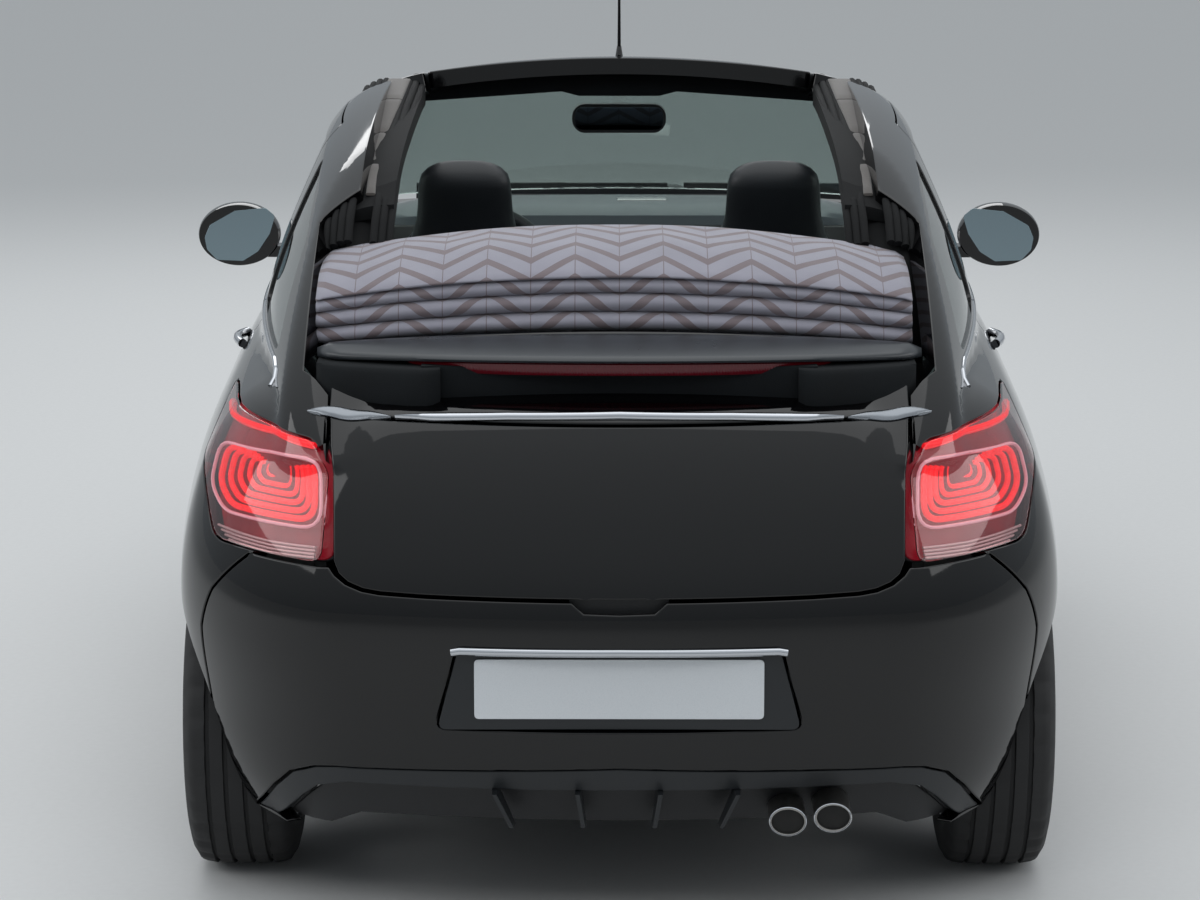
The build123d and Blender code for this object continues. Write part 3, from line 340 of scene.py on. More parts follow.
def spread(points, gap, closed=True):
    points = np.array(points, float)
    ends = np.roll(points, -1, axis=0) if closed else points[1:]
    out = []
    for a, b in zip(points, ends):
        count = max(1, int(math.ceil(np.linalg.norm(b - a) / gap)))
        out += [a + (b - a) * k / count for k in range(count)]
    if not closed:
        out.append(points[-1])
    return np.array(out)


def round_corners(points, radius, steps=5):
    points = [np.array(p, float) for p in points]
    out = []
    for before, here, after in zip(points[-1:] + points[:-1], points, points[1:] + points[:1]):
        a = (before - here) / np.linalg.norm(before - here)
        b = (after - here) / np.linalg.norm(after - here)
        half = math.acos(max(-1.0, min(1.0, float(a @ b)))) / 2
        reach = min(radius / math.tan(half), 0.45 * np.linalg.norm(before - here),
                    0.45 * np.linalg.norm(after - here)) if half < 1.55 else 0
        if reach < 1e-4:
            out.append(here)
            continue
        for k in range(steps + 1):
            t = k / steps
            out.append((1 - t) ** 2 * (here + a * reach) + 2 * t * (1 - t) * here
                       + t * t * (here + b * reach))
    return out


# Part of a seam, drawn in one view in millimetres and laid on the surface
def seam(view, points, form=body_form, gap=0.012, radius=0, closed=False):
    points = [np.array(p, float) / 1000 for p in points]
    if radius:
        points = round_corners(points, radius / 1000)
    flat = spread(points, gap, closed)
    origin, way = rays(view, flat)
    return land(form, origin, way, reach=2.2 if view in ("top", "rear", "front") else 1.6, coarse=120)


def inside(loops, points):
    hits = np.zeros(len(points), bool)
    x, y = points[:, 0], points[:, 1]
    for loop in loops:
        ends = np.roll(loop, -1, axis=0)
        for (x0, y0), (x1, y1) in zip(loop, ends):
            if y0 == y1:
                continue
            crosses = (y0 > y) != (y1 > y)
            hits ^= crosses & (x < (x1 - x0) * (y - y0) / (y1 - y0) + x0)
    return hits


def pull_in(loop, gap, hole):
    ahead = np.roll(loop, -1, axis=0) - loop
    ahead /= np.maximum(np.linalg.norm(ahead, axis=1, keepdims=True), 1e-9)
    back = np.roll(ahead, 1, axis=0)
    area = np.sum(loop[:, 0] * np.roll(loop[:, 1], -1) - loop[:, 1] * np.roll(loop[:, 0], -1))
    way = math.copysign(1.0, area) * (-1 if hole else 1)
    turn = 1 + np.sum(ahead * back, axis=1, keepdims=True)
    mitre = np.stack([-(ahead + back)[:, 1], (ahead + back)[:, 0]], 1) / np.maximum(turn, 0.5)
    return loop + mitre * gap * way


def distance_to(loops, points):
    best = np.full(len(points), 1e9)
    for loop in loops:
        for a, b in zip(loop, np.roll(loop, -1, axis=0)):
            d = b - a
            t = np.clip(((points - a) @ d) / max(float(d @ d), 1e-12), 0, 1)
            best = np.minimum(best, np.linalg.norm(points - a - t[:, None] * d, axis=1))
    return best


# A mesh or a curve stands in the scene as one piece, which rides on its body
def stood(name, shape, body, replaces=None):
    piece = bpy.data.objects.new(name, shape)
    scene.collection.objects.link(piece)
    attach(piece, body)
    if replaces:
        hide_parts(replaces)
    return piece


# One panel: triangles over its unrolled outline, laid on the form, with a rolled edge and a
# return flange, closed by an inner face. Normals are the form's own, so the gloss stays true.
def panel(name, kind, loops, finish, trim, body, replaces=None, form=body_form, depth=0.03,
          gap=0.018, shut=0.0025, roll=0.003, straight=None):
    flat = [flatten(kind, loop) for loop in loops]
    flat = [pull_in(loop, shut, k > 0) for k, loop in enumerate(flat)]
    inner = [pull_in(loop, roll, k > 0) for k, loop in enumerate(flat)]
    low = flat[0].min(axis=0)
    high = flat[0].max(axis=0)
    us = np.arange(low[0] + gap / 2, high[0], gap)
    vs = np.arange(low[1] + gap / 2, high[1], gap)
    grid = np.stack(np.meshgrid(us, vs), -1).reshape(-1, 2)
    grid = grid[inside(inner, grid)]
    grid = grid[distance_to(inner, grid) > gap * 0.45]
    points = np.concatenate(flat + inner + [grid])
    edges = []
    start = 0
    for loop in flat + inner:
        count = len(loop)
        edges += [(start + k, start + (k + 1) % count) for k in range(count)]
        start += count
    made = geometry.delaunay_2d_cdt([Vector(p) for p in points], edges, [], 0, 1e-7)
    corners = np.array([tuple(v) for v in made[0]])
    triangles = np.array([f for f in made[2] if len(f) == 3])
    centres = corners[triangles].mean(axis=1)
    triangles = triangles[inside(flat, centres)]
    a, b, c = (corners[triangles[:, k]] for k in range(3))
    areas = np.cross(b - a, c - a)
    triangles[areas < 0] = triangles[areas < 0][:, ::-1]
    rim_count = sum(len(loop) for loop in flat)
    first_input = [min(o) if o else -1 for o in made[3]]
    is_rim = np.array([0 <= o < rim_count for o in first_input])
    origin, way = rays(kind, corners)
    placed = land(form, origin, way, reach=2.2, coarse=110)
    normals = slope_of(form, placed)
    a, b, c = (placed[triangles[:, k]] for k in range(3))
    facing = np.sum(np.cross(b - a, c - a) * normals[triangles[:, 0]], axis=1)
    if np.median(facing) < 0:
        triangles = triangles[:, ::-1]
    used = np.unique(triangles)
    lookup = -np.ones(len(corners), int)
    lookup[used] = np.arange(len(used))
    placed, normals, is_rim = placed[used], normals[used], is_rim[used]
    triangles = lookup[triangles]
    placed[is_rim] -= normals[is_rim] * roll * 0.6
    drop = normals * depth if straight is None else np.array(straight)[None, :] * depth
    count = len(placed)
    vertices = np.concatenate([placed, placed - drop])
    open_edges = {}
    for tri in triangles:
        for i in range(3):
            pair = (tri[i], tri[(i + 1) % 3])
            if (pair[1], pair[0]) in open_edges:
                del open_edges[(pair[1], pair[0])]
            else:
                open_edges[pair] = True
    faces = [tuple(t) for t in triangles]
    faces += [tuple(t + count) for t in triangles[:, ::-1]]
    sides = [(b, a, a + count, b + count) for a, b in open_edges]
    mesh = bpy.data.meshes.new(name)
    mesh.from_pydata([tuple(v) for v in vertices], [], faces + sides)
    mesh.materials.append(finish)
    mesh.materials.append(trim)
    skin_count = len(triangles)
    marks = np.ones(len(mesh.polygons), np.int32)
    marks[:skin_count] = 0
    marks[2 * skin_count:] = 0
    mesh.polygons.foreach_set("material_index", marks)
    outward = np.zeros((count, 3))
    for a, b in open_edges:
        along = placed[b] - placed[a]
        for k in (a, b):
            outward[k] += np.cross(along, normals[k])
    lengths = np.maximum(np.linalg.norm(outward, axis=1, keepdims=True), 1e-9)
    outward = np.where(is_rim[:, None], outward / lengths, 0)
    shaded = normals + outward * 1.1
    shaded /= np.linalg.norm(shaded, axis=1, keepdims=True)
    split_normals = np.zeros((len(mesh.loops), 3))
    index = np.zeros(len(mesh.loops), np.int32)
    mesh.loops.foreach_get("vertex_index", index)
    split_normals[:3 * skin_count] = shaded[index[:3 * skin_count]]
    back = index[3 * skin_count:6 * skin_count] - count
    split_normals[3 * skin_count:6 * skin_count] = -normals[back]
    side_loops = index[6 * skin_count:]
    split_normals[6 * skin_count:] = outward[side_loops % count]
    mesh.normals_split_custom_set([tuple(n) for n in split_normals])
    return stood(name, mesh, body, replaces)


def mirrored(piece, name, body, replaces=None):
    mesh = piece.data.copy()
    normals = np.zeros(len(mesh.loops) * 3)
    mesh.corner_normals.foreach_get("vector", normals)
    normals = normals.reshape(-1, 3)
    starts = [p.loop_start for p in mesh.polygons]
    totals = [p.loop_total for p in mesh.polygons]
    mesh.transform(Matrix.Scale(-1, 4, (0, 1, 0)))
    mesh.flip_normals()
    flipped = np.zeros_like(normals)
    for start, total in zip(starts, totals):
        order = [start] + list(range(start + total - 1, start, -1))
        flipped[start:start + total] = normals[order]
    flipped[:, 1] *= -1
    mesh.normals_split_custom_set([tuple(n) for n in flipped])
    return stood(name, mesh, body, replaces)


# Finish of the steel panels, sprayed with solid black enamel under clear lacquer: deep, mirror-like,
# with a trace of orange peel that only bends the sharpest reflections
black_lacquer, tree, shader = material("black_enamel_under_lacquer")
place = node(tree, "ShaderNodeTexCoord").outputs["Object"]
peel = node(tree, "ShaderNodeTexNoise", [("Vector", place)], Scale=1000 / 3.8, Detail=1.0)
cloud = node(tree, "ShaderNodeTexNoise", [("Vector", place)], Scale=1000 / 333, Detail=4.0)
lift = node(tree, "ShaderNodeBump", [("Height", peel.outputs["Fac"])], Strength=0.012, Distance=0.001)
haze = node(tree, "ShaderNodeMapRange", [("Value", cloud.outputs["Fac"])], To_Min=0.03, To_Max=0.07)
put(shader, [("Normal", lift.outputs["Normal"]), ("Roughness", haze.outputs["Result"])],
    Base_Color=linear("#030304"), IOR=1.5)

# Moulded polypropylene, black with a leather-like grain that takes the shine off. The grain, of
# about a millimetre, is drawn coarser, so that it shows.
black_plastic, tree, shader = material("black_polypropylene_moulded")
place = node(tree, "ShaderNodeTexCoord").outputs["Object"]
grain = node(tree, "ShaderNodeTexVoronoi", [("Vector", place)], Scale=1000 / 2.4)
lift = node(tree, "ShaderNodeBump", [("Height", grain.outputs["Distance"])], Strength=0.25, Distance=0.0006)
put(shader, [("Normal", lift.outputs["Normal"])], Base_Color=linear("#17181a"), Roughness=0.5, IOR=1.49)

# Polypropylene with a shallower grain and a satin sheen, for trim that is seen from close by
black_satin, tree, shader = material("satin_black_polypropylene")
place = node(tree, "ShaderNodeTexCoord").outputs["Object"]
grain = node(tree, "ShaderNodeTexNoise", [("Vector", place)], Scale=1000 / 3.3, Detail=2.0)
lift = node(tree, "ShaderNodeBump", [("Height", grain.outputs["Fac"])], Strength=0.15, Distance=0.0005)
put(shader, [("Normal", lift.outputs["Normal"])], Base_Color=linear("#1d2023"), Roughness=0.42, IOR=1.49)


# A body panel, lacquered outside and bare inside
def skin(name, kind, loops, body, replaces, **how):
    return panel(name, kind, loops, black_lacquer, black_plastic, body, replaces, **how)


# Doors: one steel pressing each, with its window frame, hung on two hinges at its front edge and
# latched at its rear edge. The frame stands round the glass on all sides.
door_shape = [(640, 205), (690, 300), (690, 930), (680, 985), (60, 1385), (-560, 1372), (-640, 1000),
              (-650, 560), (-600, 205)]
window_shape = [(560, 1000), (80, 1340), (-512, 1330), (-590, 1020)]
door_loop = seam("side", door_shape, radius=35, closed=True)
window_loop = seam("side", window_shape, radius=18, closed=True)
door = skin("door_skin_left", "hoop", [door_loop, window_loop], "door_left", "door_left", depth=0.045,
            straight=(0, 1, 0))
mirrored(door, "door_skin_right", "door_right", "door_right")


# Body sides: sill, B-pillar, rear quarter, C-pillar and roof rail in one steel pressing, welded to
# the floor pan, and cut round the door, the quarter window, the wheel arch, the tail lamp and the
# roof opening
def arc(x, z, radius, start, end, steps=40):
    turns = np.radians(np.linspace(start, end, steps))
    return [(x + radius * math.cos(t), z + radius * math.sin(t)) for t in turns]


# Runs of a seam put end to end, without points that lie closer than 2 mm
def joined(*runs):
    points = np.concatenate(runs)
    apart = np.linalg.norm(points - np.roll(points, 1, axis=0), axis=1)
    return points[apart > 0.002]


AXLE_FRONT = (1184, 308)
AXLE_REAR = (-1280, 308)
ARCH_R = 352
lamp_shape = [(555, 936), (748, 950), (790, 845), (752, 730), (536, 726), (524, 880)]
CORNER_STEPS = 5
CORNER_POINTS = CORNER_STEPS + 1
lamp_rounded = round_corners(lamp_shape[::-1], 30, CORNER_STEPS)
lamp_edge = [tuple(p) for p in lamp_rounded[2 * CORNER_POINTS:6 * CORNER_POINTS]]
quarter_shape = [(-740, 1035), (-1420, 1035), (-1150, 1215), (-720, 1322)]
side_loop = joined(
    seam("side", [(703, 155), (-963, 155)]),
    seam("side", arc(*AXLE_REAR, ARCH_R, -25.8, 164.8, 60)),
    seam("side", [(-1619, 400), (-1650, 560), (-1690, 640), (-1765, 729)]),
    seam("rear", lamp_edge),
    seam("rear", [(531, 930), (534, 980)]),
    seam("top", [(-1800, 531), (-1700, 531), (-1660, 556), (-1625, 582), (-1180, 582), (-1120, 505),
                 (10, 500), (10, 432)]),
    seam("front", [(432, 1400), (502, 1400), (516, 1385), (622, 1045)]),
    seam("top", [(860, 603), (930, 612)]),
    seam("side", [(930, 1028), (706, 950), (703, 940)]),
)
quarter_loop = seam("side", quarter_shape, radius=22, closed=True)
door_gap = seam("side", door_shape, radius=35, closed=True)
side = skin("body_side_skin_left", "hoop", [side_loop, door_gap, quarter_loop], "body", "body_side_left",
            depth=0.04)
mirrored(side, "body_side_skin_right", "body", "body_side_right")


# Front wings: pressed steel, bolted along the bonnet's edge and to the sill, each cut round its
# wheel arch and its headlamp
wing_loop = joined(
    seam("side", [(703, 155), (706, 950), (930, 1028)]),
    seam("top", [(935, 612), (1500, 558), (1690, 458), (1720, 394)]),
    seam("side", [(1720, 880), (1720, 806), (1600, 828), (1460, 815), (1600, 730), (1720, 685), (1720, 660),
                  (1640, 640), (1530, 520), (1530, 375)]),
    seam("side", arc(*AXLE_FRONT, ARCH_R, 10.5, 205.8, 60)),
)
wing = skin("front_wing_skin_left", "hoop", [wing_loop], "body", "front_wing_left", depth=0.02)
mirrored(wing, "front_wing_skin_right", "body", "front_wing_right")


# Bonnet: one steel pressing over an inner frame, hinged at the windscreen and latched at the nose.
# Pieces that cross the middle are drawn by their left half, and the right half mirrors it.
def both_sides(half):
    other = half[::-1].copy()
    other[:, 1] *= -1
    return joined(half, other)


bonnet_half = seam("top", [(1765, 0), (1765, 300), (1690, 460), (1500, 560), (932, 615), (932, 0)])
skin("bonnet_skin", "top", [both_sides(bonnet_half)], "bonnet", "bonnet", depth=0.02)


# Header: the closed steel section over the windscreen that the front edge of the roof meets, welded
# to the two roof rails
header_half = joined(seam("top", [(10, 0), (10, 428)]), seam("front", [(428, 1398), (0, 1398)]))
skin("header_skin", "top", [both_sides(header_half)], "body", "windscreen_header", depth=0.035, shut=0.001)


# Deck: the steel strip between the folded roof and the boot lid, welded to both sides. The gap round
# the lid ends at its rear edge.
deck_half = joined(seam("rear", [(0, 980), (529, 980)]),
                   seam("top", [(-1700, 528), (-1600, 528), (-1600, 0)]))
skin("boot_deck_skin", "top", [both_sides(deck_half)], "body", "rear_deck", depth=0.02, shut=0.0)


# Boot lid: a steel pressing that is hinged under the deck and opens upwards. Its lower corners are
# rounded, and its sides meet the tail lamps.
lid_half = seam("rear", [(0, 681), (347, 682), (430, 684), (462, 688), (490, 698), (508, 712), (518, 735),
                         (519, 800), (521, 880), (528, 935), (531, 978), (0, 978)])
skin("boot_lid_skin", "tail", [both_sides(lid_half)], "boot_lid", "boot_lid", depth=0.03, gap=0.015)


# Rear bumper: moulded polypropylene in the body's colour, clipped to the sides, with a dish for the
# number plate. It runs from the lid down to the valance and round to the wheel arches.
bumper_half = joined(
    seam("rear", [(0, 360), (520, 342), (560, 336), (606, 316), (640, 277), (684, 206)]),
    seam("side", [(-1735, 205), (-1618, 205)]),
    seam("side", arc(*AXLE_REAR, ARCH_R, 197, 165.2, 12)),
    seam("side", [(-1619, 400), (-1650, 560), (-1690, 640), (-1765, 727)]),
    seam("rear", [(744, 727), (540, 723), (522, 724), (511, 710), (491, 696), (462, 686), (430, 682),
                  (347, 680), (84, 679), (62, 660), (0, 658)]),
)
recess_shape = [(329, 435), (291, 591), (-291, 591), (-329, 435)]
recess_loop = seam("rear", recess_shape, radius=14, closed=True)
skin("rear_bumper_skin", "tail", [both_sides(bumper_half), recess_loop], "body", "rear_bumper", depth=0.03,
     gap=0.015)


# Front bumper: moulded polypropylene in the body's colour, clipped to the wings, with a narrow
# mouth above for the grille and a wide one below
lower_mouth = [(400, 235), (470, 420), (-470, 420), (-400, 235)]
upper_mouth = [(330, 520), (380, 600), (330, 660), (-330, 660), (-380, 600), (-330, 520)]
nose_half = joined(
    seam("front", [(0, 157), (650, 157)]),
    seam("side", arc(*AXLE_FRONT, ARCH_R, -25.8, 10.5, 14)),
    seam("side", [(1530, 375), (1530, 520), (1640, 640), (1720, 660), (1720, 685), (1800, 655)]),
    seam("front", [(640, 655), (402, 655), (402, 762)]),
    seam("side", [(1800, 790), (1720, 806), (1720, 870)]),
    seam("top", [(1720, 396), (1767, 300), (1767, 0)]),
)
mouths = [seam("front", lower_mouth, radius=30, closed=True),
          seam("front", upper_mouth, radius=15, closed=True)]
skin("front_bumper_skin", "nose", [both_sides(nose_half)] + mouths, "body", "front_bumper", depth=0.012,
     gap=0.015)


# Tail lamps: a clear acrylic cover over a dark red bowl, with a pale light guide that runs in a
# rounded ring. Red bars nest inside it in a U and step inwards, a red bar lies above and a ribbed
# strip below. Each lamp is screwed to the side from inside the boot.
def sunk_form(depth):
    return lambda p: body_form(p) + depth


def sink(points, depth):
    return points - slope_of(body_form, points) * depth


def rod(name, points, radius, finish, body, closed=False):
    curve = bpy.data.curves.new(name, "CURVE")
    curve.dimensions = "3D"
    line = curve.splines.new("POLY")
    line.points.add(len(points) - 1)
    for point, place in zip(line.points, points):
        point.co = (*place, 1)
    line.use_cyclic_u = closed
    curve.bevel_depth = radius
    curve.bevel_resolution = 3
    curve.use_fill_caps = True
    curve.materials.append(finish)
    return stood(name, curve, body)


def across(piece, body="body"):
    made = piece.copy()
    made.data = piece.data.copy()
    made.name = piece.name.replace("left", "right")
    for line in made.data.splines:
        for point in line.points:
            point.co.y *= -1
    scene.collection.objects.link(made)
    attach(made, body)
    return made


# Acrylic, injection moulded and polished: clear with a trace of smoke
clear_acrylic, tree, shader = material("clear_acrylic_moulded")
put(shader, Base_Color=linear("#f4eef0"), Roughness=0.02, IOR=1.49, Transmission_Weight=1.0)

# The same acrylic with a rose tint, so that the lamp reads red when it isn't lit
rosy_acrylic, tree, shader = material("rose_tinted_acrylic_moulded")
put(shader, Base_Color=linear("#f4ced0"), Roughness=0.02, IOR=1.49, Transmission_Weight=1.0)

# Dark red acrylic at the back of the bowl, in patches of deeper and lighter red. Its glow is painted light,
# which keeps the inside of the lamp from going dark.
dark_red, tree, shader = material("dark_red_acrylic_bowl")
place = node(tree, "ShaderNodeTexCoord").outputs["Object"]
cloud = node(tree, "ShaderNodeTexNoise", [("Vector", place)], Scale=1000 / 71, Detail=2.0)
tint = node(tree, "ShaderNodeMix", [("Factor", cloud.outputs["Fac"])], data_type="RGBA", A=linear("#4a0410"),
            B=linear("#8a0a1c"))
put(shader, [("Base Color", tint.outputs["Result"]), ("Emission Color", tint.outputs["Result"])],
    Roughness=0.25, IOR=1.49, Emission_Strength=0.35)

# Red light bars of diffusing acrylic, lit along their length
bright_red, tree, shader = material("red_acrylic_light_bar")
place = node(tree, "ShaderNodeTexCoord").outputs["Object"]
stripes = node(tree, "ShaderNodeTexNoise", [("Vector", place)], Scale=1000 / 11, Detail=2.0)
tint = node(tree, "ShaderNodeMix", [("Factor", stripes.outputs["Fac"])], data_type="RGBA",
            A=linear("#c80818"), B=linear("#f4222a"))
put(shader, [("Base Color", tint.outputs["Result"]), ("Emission Color", tint.outputs["Result"])],
    Roughness=0.2, IOR=1.49, Emission_Strength=0.8)

# Opal acrylic light guide, milky, with a painted pink that stands for the red light of the bars around it
opal, tree, shader = material("opal_acrylic_light_guide")
put(shader, Base_Color=linear("#e9bfca"), Roughness=0.18, IOR=1.49, Emission_Color=linear("#e6aab8"),
    Emission_Strength=0.22)

# Polycarbonate with moulded ribs over the reversing lamp, silvery behind
ribbed, tree, shader = material("silvered_polycarbonate_ribs")
put(shader, Base_Color=linear("#c9cdcb"), Roughness=0.16, IOR=1.58, Metallic=0.6)

lamp_loop = seam("rear", lamp_shape[::-1], radius=30, closed=True)
cover = panel("tail_lamp_cover_left", "tail", [lamp_loop], rosy_acrylic, rosy_acrylic, "body", "tail_lamps",
              depth=0.003, gap=0.012)
cover_right = mirrored(cover, "tail_lamp_cover_right", "body")
bowl = panel("tail_lamp_bowl_left", "tail", [lamp_loop], dark_red, dark_red, "body", form=sunk_form(0.03),
             depth=0.004, gap=0.014, shut=0.0)
mirrored(bowl, "tail_lamp_bowl_right", "body")
for piece in (cover, cover_right):
    piece.visible_shadow = False

RING_R = 0.0034
BAR_R = 0.0062
TOP_BAR_R = 0.0065
RIB_R = 0.0027
ring_shape = [(543, 908), (540, 786), (735, 781), (768, 815), (752, 889)]
RING_HEART = (640, 880)
BARS = 6
for k in range(BARS + 1):
    share = k / (BARS + 1.2)
    shrunk = [(RING_HEART[0] + (y - RING_HEART[0]) * (1 - share),
               RING_HEART[1] + (z - RING_HEART[1]) * (1 - share)) for y, z in ring_shape]
    line = seam("rear", shrunk, radius=36 * (1 - share) + 4, closed=True, gap=0.006)
    if k:
        highest = line[:, 2].max()
        low_part = line[:, 2] < highest - 0.010 * (1 - share)
        start = int(np.argmax(~low_part))
        turned = np.roll(np.arange(len(line)), -start)
        line = line[turned][low_part[turned]]
    line = sink(line, 0.006 + 0.022 * share)
    ring = rod(f"tail_lamp_bar_left_{k}", line, BAR_R * (1 - 0.3 * share) if k else RING_R,
               bright_red if k else opal, "body", closed=k == 0)
    across(ring)
top_bar = sink(seam("rear", [(556, 927), (640, 933), (748, 929)], gap=0.008), 0.008)
across(rod("tail_lamp_top_bar_left", top_bar, TOP_BAR_R, bright_red, "body"))
for k in range(4):
    z = 734 + 6 * k
    strip = sink(seam("rear", [(552 - 0.8 * k, z + 2), (640, z - 1), (722 + 8 * k, z + 1)], gap=0.008), 0.006)
    across(rod(f"tail_lamp_rib_left_{k}", strip, RIB_R, ribbed, "body"))


# Bar along the top of the boot lid: one crowned ABS moulding with chromium plate, stuck to the
# lid, that thins and hooks down at its ends. The plate is polished, with a faint blue in its
# reflections.
chrome, tree, shader = material("bright_chromium_plate")
place = node(tree, "ShaderNodeTexCoord").outputs["Object"]
smear = node(tree, "ShaderNodeTexNoise", [("Vector", place)], Scale=1000 / 29, Detail=3.0)
haze = node(tree, "ShaderNodeMapRange", [("Value", smear.outputs["Fac"])], To_Min=0.05, To_Max=0.14)
put(shader, [("Roughness", haze.outputs["Result"])], Base_Color=linear("#c4c7cc"), Metallic=1.0)


# Faces of rings of points, each ring joined to the next and the first and last closed
def ring_faces(rings, first=0):
    count = len(rings[0])
    last = first + (len(rings) - 1) * count
    faces = []
    for low in range(first, last, count):
        high = low + count
        for k in range(count):
            on = (k + 1) % count
            faces.append((low + k, low + on, high + on, high + k))
    faces.append(tuple(range(first + count - 1, first - 1, -1)))
    faces.append(tuple(range(last, last + count)))
    return faces


# Writes the faces to the mesh, turned outwards
def written(build, mesh):
    bmesh.ops.recalc_face_normals(build, faces=build.faces)
    build.to_mesh(mesh)
    build.free()


def closed_mesh(name, verts, faces, finish):
    mesh = bpy.data.meshes.new(name)
    mesh.from_pydata(verts, [], faces)
    build = bmesh.new()
    build.from_mesh(mesh)
    written(build, mesh)
    mesh.materials.append(finish)
    return mesh


# Smooth shading, broken at edges sharper than the angle
def shade(mesh, angle=None):
    for polygon in mesh.polygons:
        polygon.use_smooth = True
    if angle:
        mesh.set_sharp_from_angle(angle=math.radians(angle))


# Rings of points joined into one closed skin, for bars, blades and pads
def strip_loft(name, sections, finish, body, replaces=None):
    verts = [tuple(point) for section in sections for point in section]
    mesh = closed_mesh(name, verts, ring_faces(sections), finish)
    shade(mesh, 50)
    return stood(name, mesh, body, replaces)


BAR_HALF = 0.0088
bar_line = seam("rear", [(-404, 978), (-370, 981), (-200, 988), (0, 992), (200, 988), (370, 981), (404, 978)],
                gap=0.008)
sections = []
for k, place_on in enumerate(bar_line):
    out = slope_of(body_form, place_on[None, :])[0]
    along = bar_line[min(k + 1, len(bar_line) - 1)] - bar_line[max(k - 1, 0)]
    rise = np.cross(along / np.linalg.norm(along), out) * -1
    share = abs(2 * k / (len(bar_line) - 1) - 1)
    half = BAR_HALF * min(1.0, 0.3 + 4.0 * (1 - share))
    sections.append([place_on + rise * half * a + out * b for a, b in (
        (-1, -0.003), (-0.98, 0.002), (-0.7, 0.0065), (0.0, 0.0095), (0.7, 0.0075), (0.98, 0.003),
        (1, -0.003))])
strip_loft("boot_lid_bright_bar", sections, chrome, "boot_lid")


# Fins: an arrow-shaped end of the bar on each side of the deck, plated and brushed to a satin that
# spreads its highlights
satin_chrome, tree, shader = material("satin_chromium_plate")
place = node(tree, "ShaderNodeTexCoord").outputs["Object"]
brushing = node(tree, "ShaderNodeTexNoise", [("Vector", place)], Scale=1000 / 33, Detail=3.0)
haze = node(tree, "ShaderNodeMapRange", [("Value", brushing.outputs["Fac"])], To_Min=0.18, To_Max=0.28)
put(shader, [("Roughness", haze.outputs["Result"])], Base_Color=linear("#8b8f94"), Metallic=1.0)
FIN_TIP = 0.0012
FIN_SWELL = 0.012
fin_line = seam("top", [(-1716, 568), (-1738, 510), (-1764, 452), (-1784, 412)], gap=0.008)
out = slope_of(body_form, fin_line).mean(axis=0)
out = out / np.linalg.norm(out)
sections = []
for k, place_on in enumerate(fin_line):
    along = fin_line[min(k + 1, len(fin_line) - 1)] - fin_line[max(k - 1, 0)]
    rise = np.cross(along / np.linalg.norm(along), out)
    share = k / (len(fin_line) - 1)
    half = FIN_TIP + FIN_SWELL * math.sin(math.pi * share ** 0.8) ** 0.8
    sections.append([place_on + rise * half * a + out * b for a, b in (
        (-1, -0.004), (-0.96, 0.003), (-0.6, 0.0055), (0.0, 0.0065), (0.6, 0.0055), (0.96, 0.003),
        (1, -0.004))])
fin = strip_loft("deck_bright_fin_left", sections, satin_chrome, "body")
mirrored(fin, "deck_bright_fin_right", "body")


# Bright strips: chromium-plated mouldings, stuck on above the number plate and clipped along the
# foot of the side windows
PLATE_STRIP_R = 0.0078
SIDE_STRIP_R = 0.005
plate_strip = seam("rear", [(-300, 583), (-285, 586), (0, 588), (285, 586), (300, 583)], gap=0.01)
rod("plate_bright_strip", plate_strip, PLATE_STRIP_R, chrome, "body")
door_strip = seam("side", [(596, 992), (300, 996), (-622, 1008)], gap=0.02)
across(rod("door_bright_strip_left", door_strip, SIDE_STRIP_R, chrome, "door_left"), "door_right")
side_strip = seam("side", [(-655, 1010), (-1100, 1020), (-1400, 1020), (-1470, 1010), (-1500, 985)], gap=0.02)
across(rod("quarter_bright_strip_left", side_strip, SIDE_STRIP_R, chrome, "body"))


# Door handles: die-cast zinc with chromium plate, each a bowed bar that stands clear of the door
# and is screwed on from inside
HANDLE_R = 0.0095
HANDLE_STAND = 0.022
for body, side in (("door_left", 1), ("door_right", -1)):
    grip = seam("side", [(-625, 919), (-550, 922), (-475, 919)], gap=0.012)
    grip[:, 1] += HANDLE_STAND * np.sin(np.linspace(0.25, math.pi - 0.25, len(grip)))
    grip[:, 1] *= side
    made = rod(f"handle_bar_{body[5:]}", grip, HANDLE_R, chrome, body)
    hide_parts(f"handle_{body[5:]}")


# Number plate: blank white reflective sheet on aluminium, screwed into a dish of the bumper with a
# dark floor, under the lip of the plate lamp. The glass beads in the sheet, a tenth of a millimetre
# wide, are drawn coarser; they give it a faint sparkle.
plate_white, tree, shader = material("white_retroreflective_sheet")
place = node(tree, "ShaderNodeTexCoord").outputs["Object"]
beads = node(tree, "ShaderNodeTexVoronoi", [("Vector", place)], Scale=1000 / 1.1)
tint = node(tree, "ShaderNodeMix", [("Factor", beads.outputs["Distance"])], data_type="RGBA",
            A=linear("#dfe3e6"), B=linear("#cfd4d9"))
put(shader, [("Base Color", tint.outputs["Result"])], Roughness=0.28, IOR=1.5, Coat_Weight=0.3,
    Coat_Roughness=0.1)


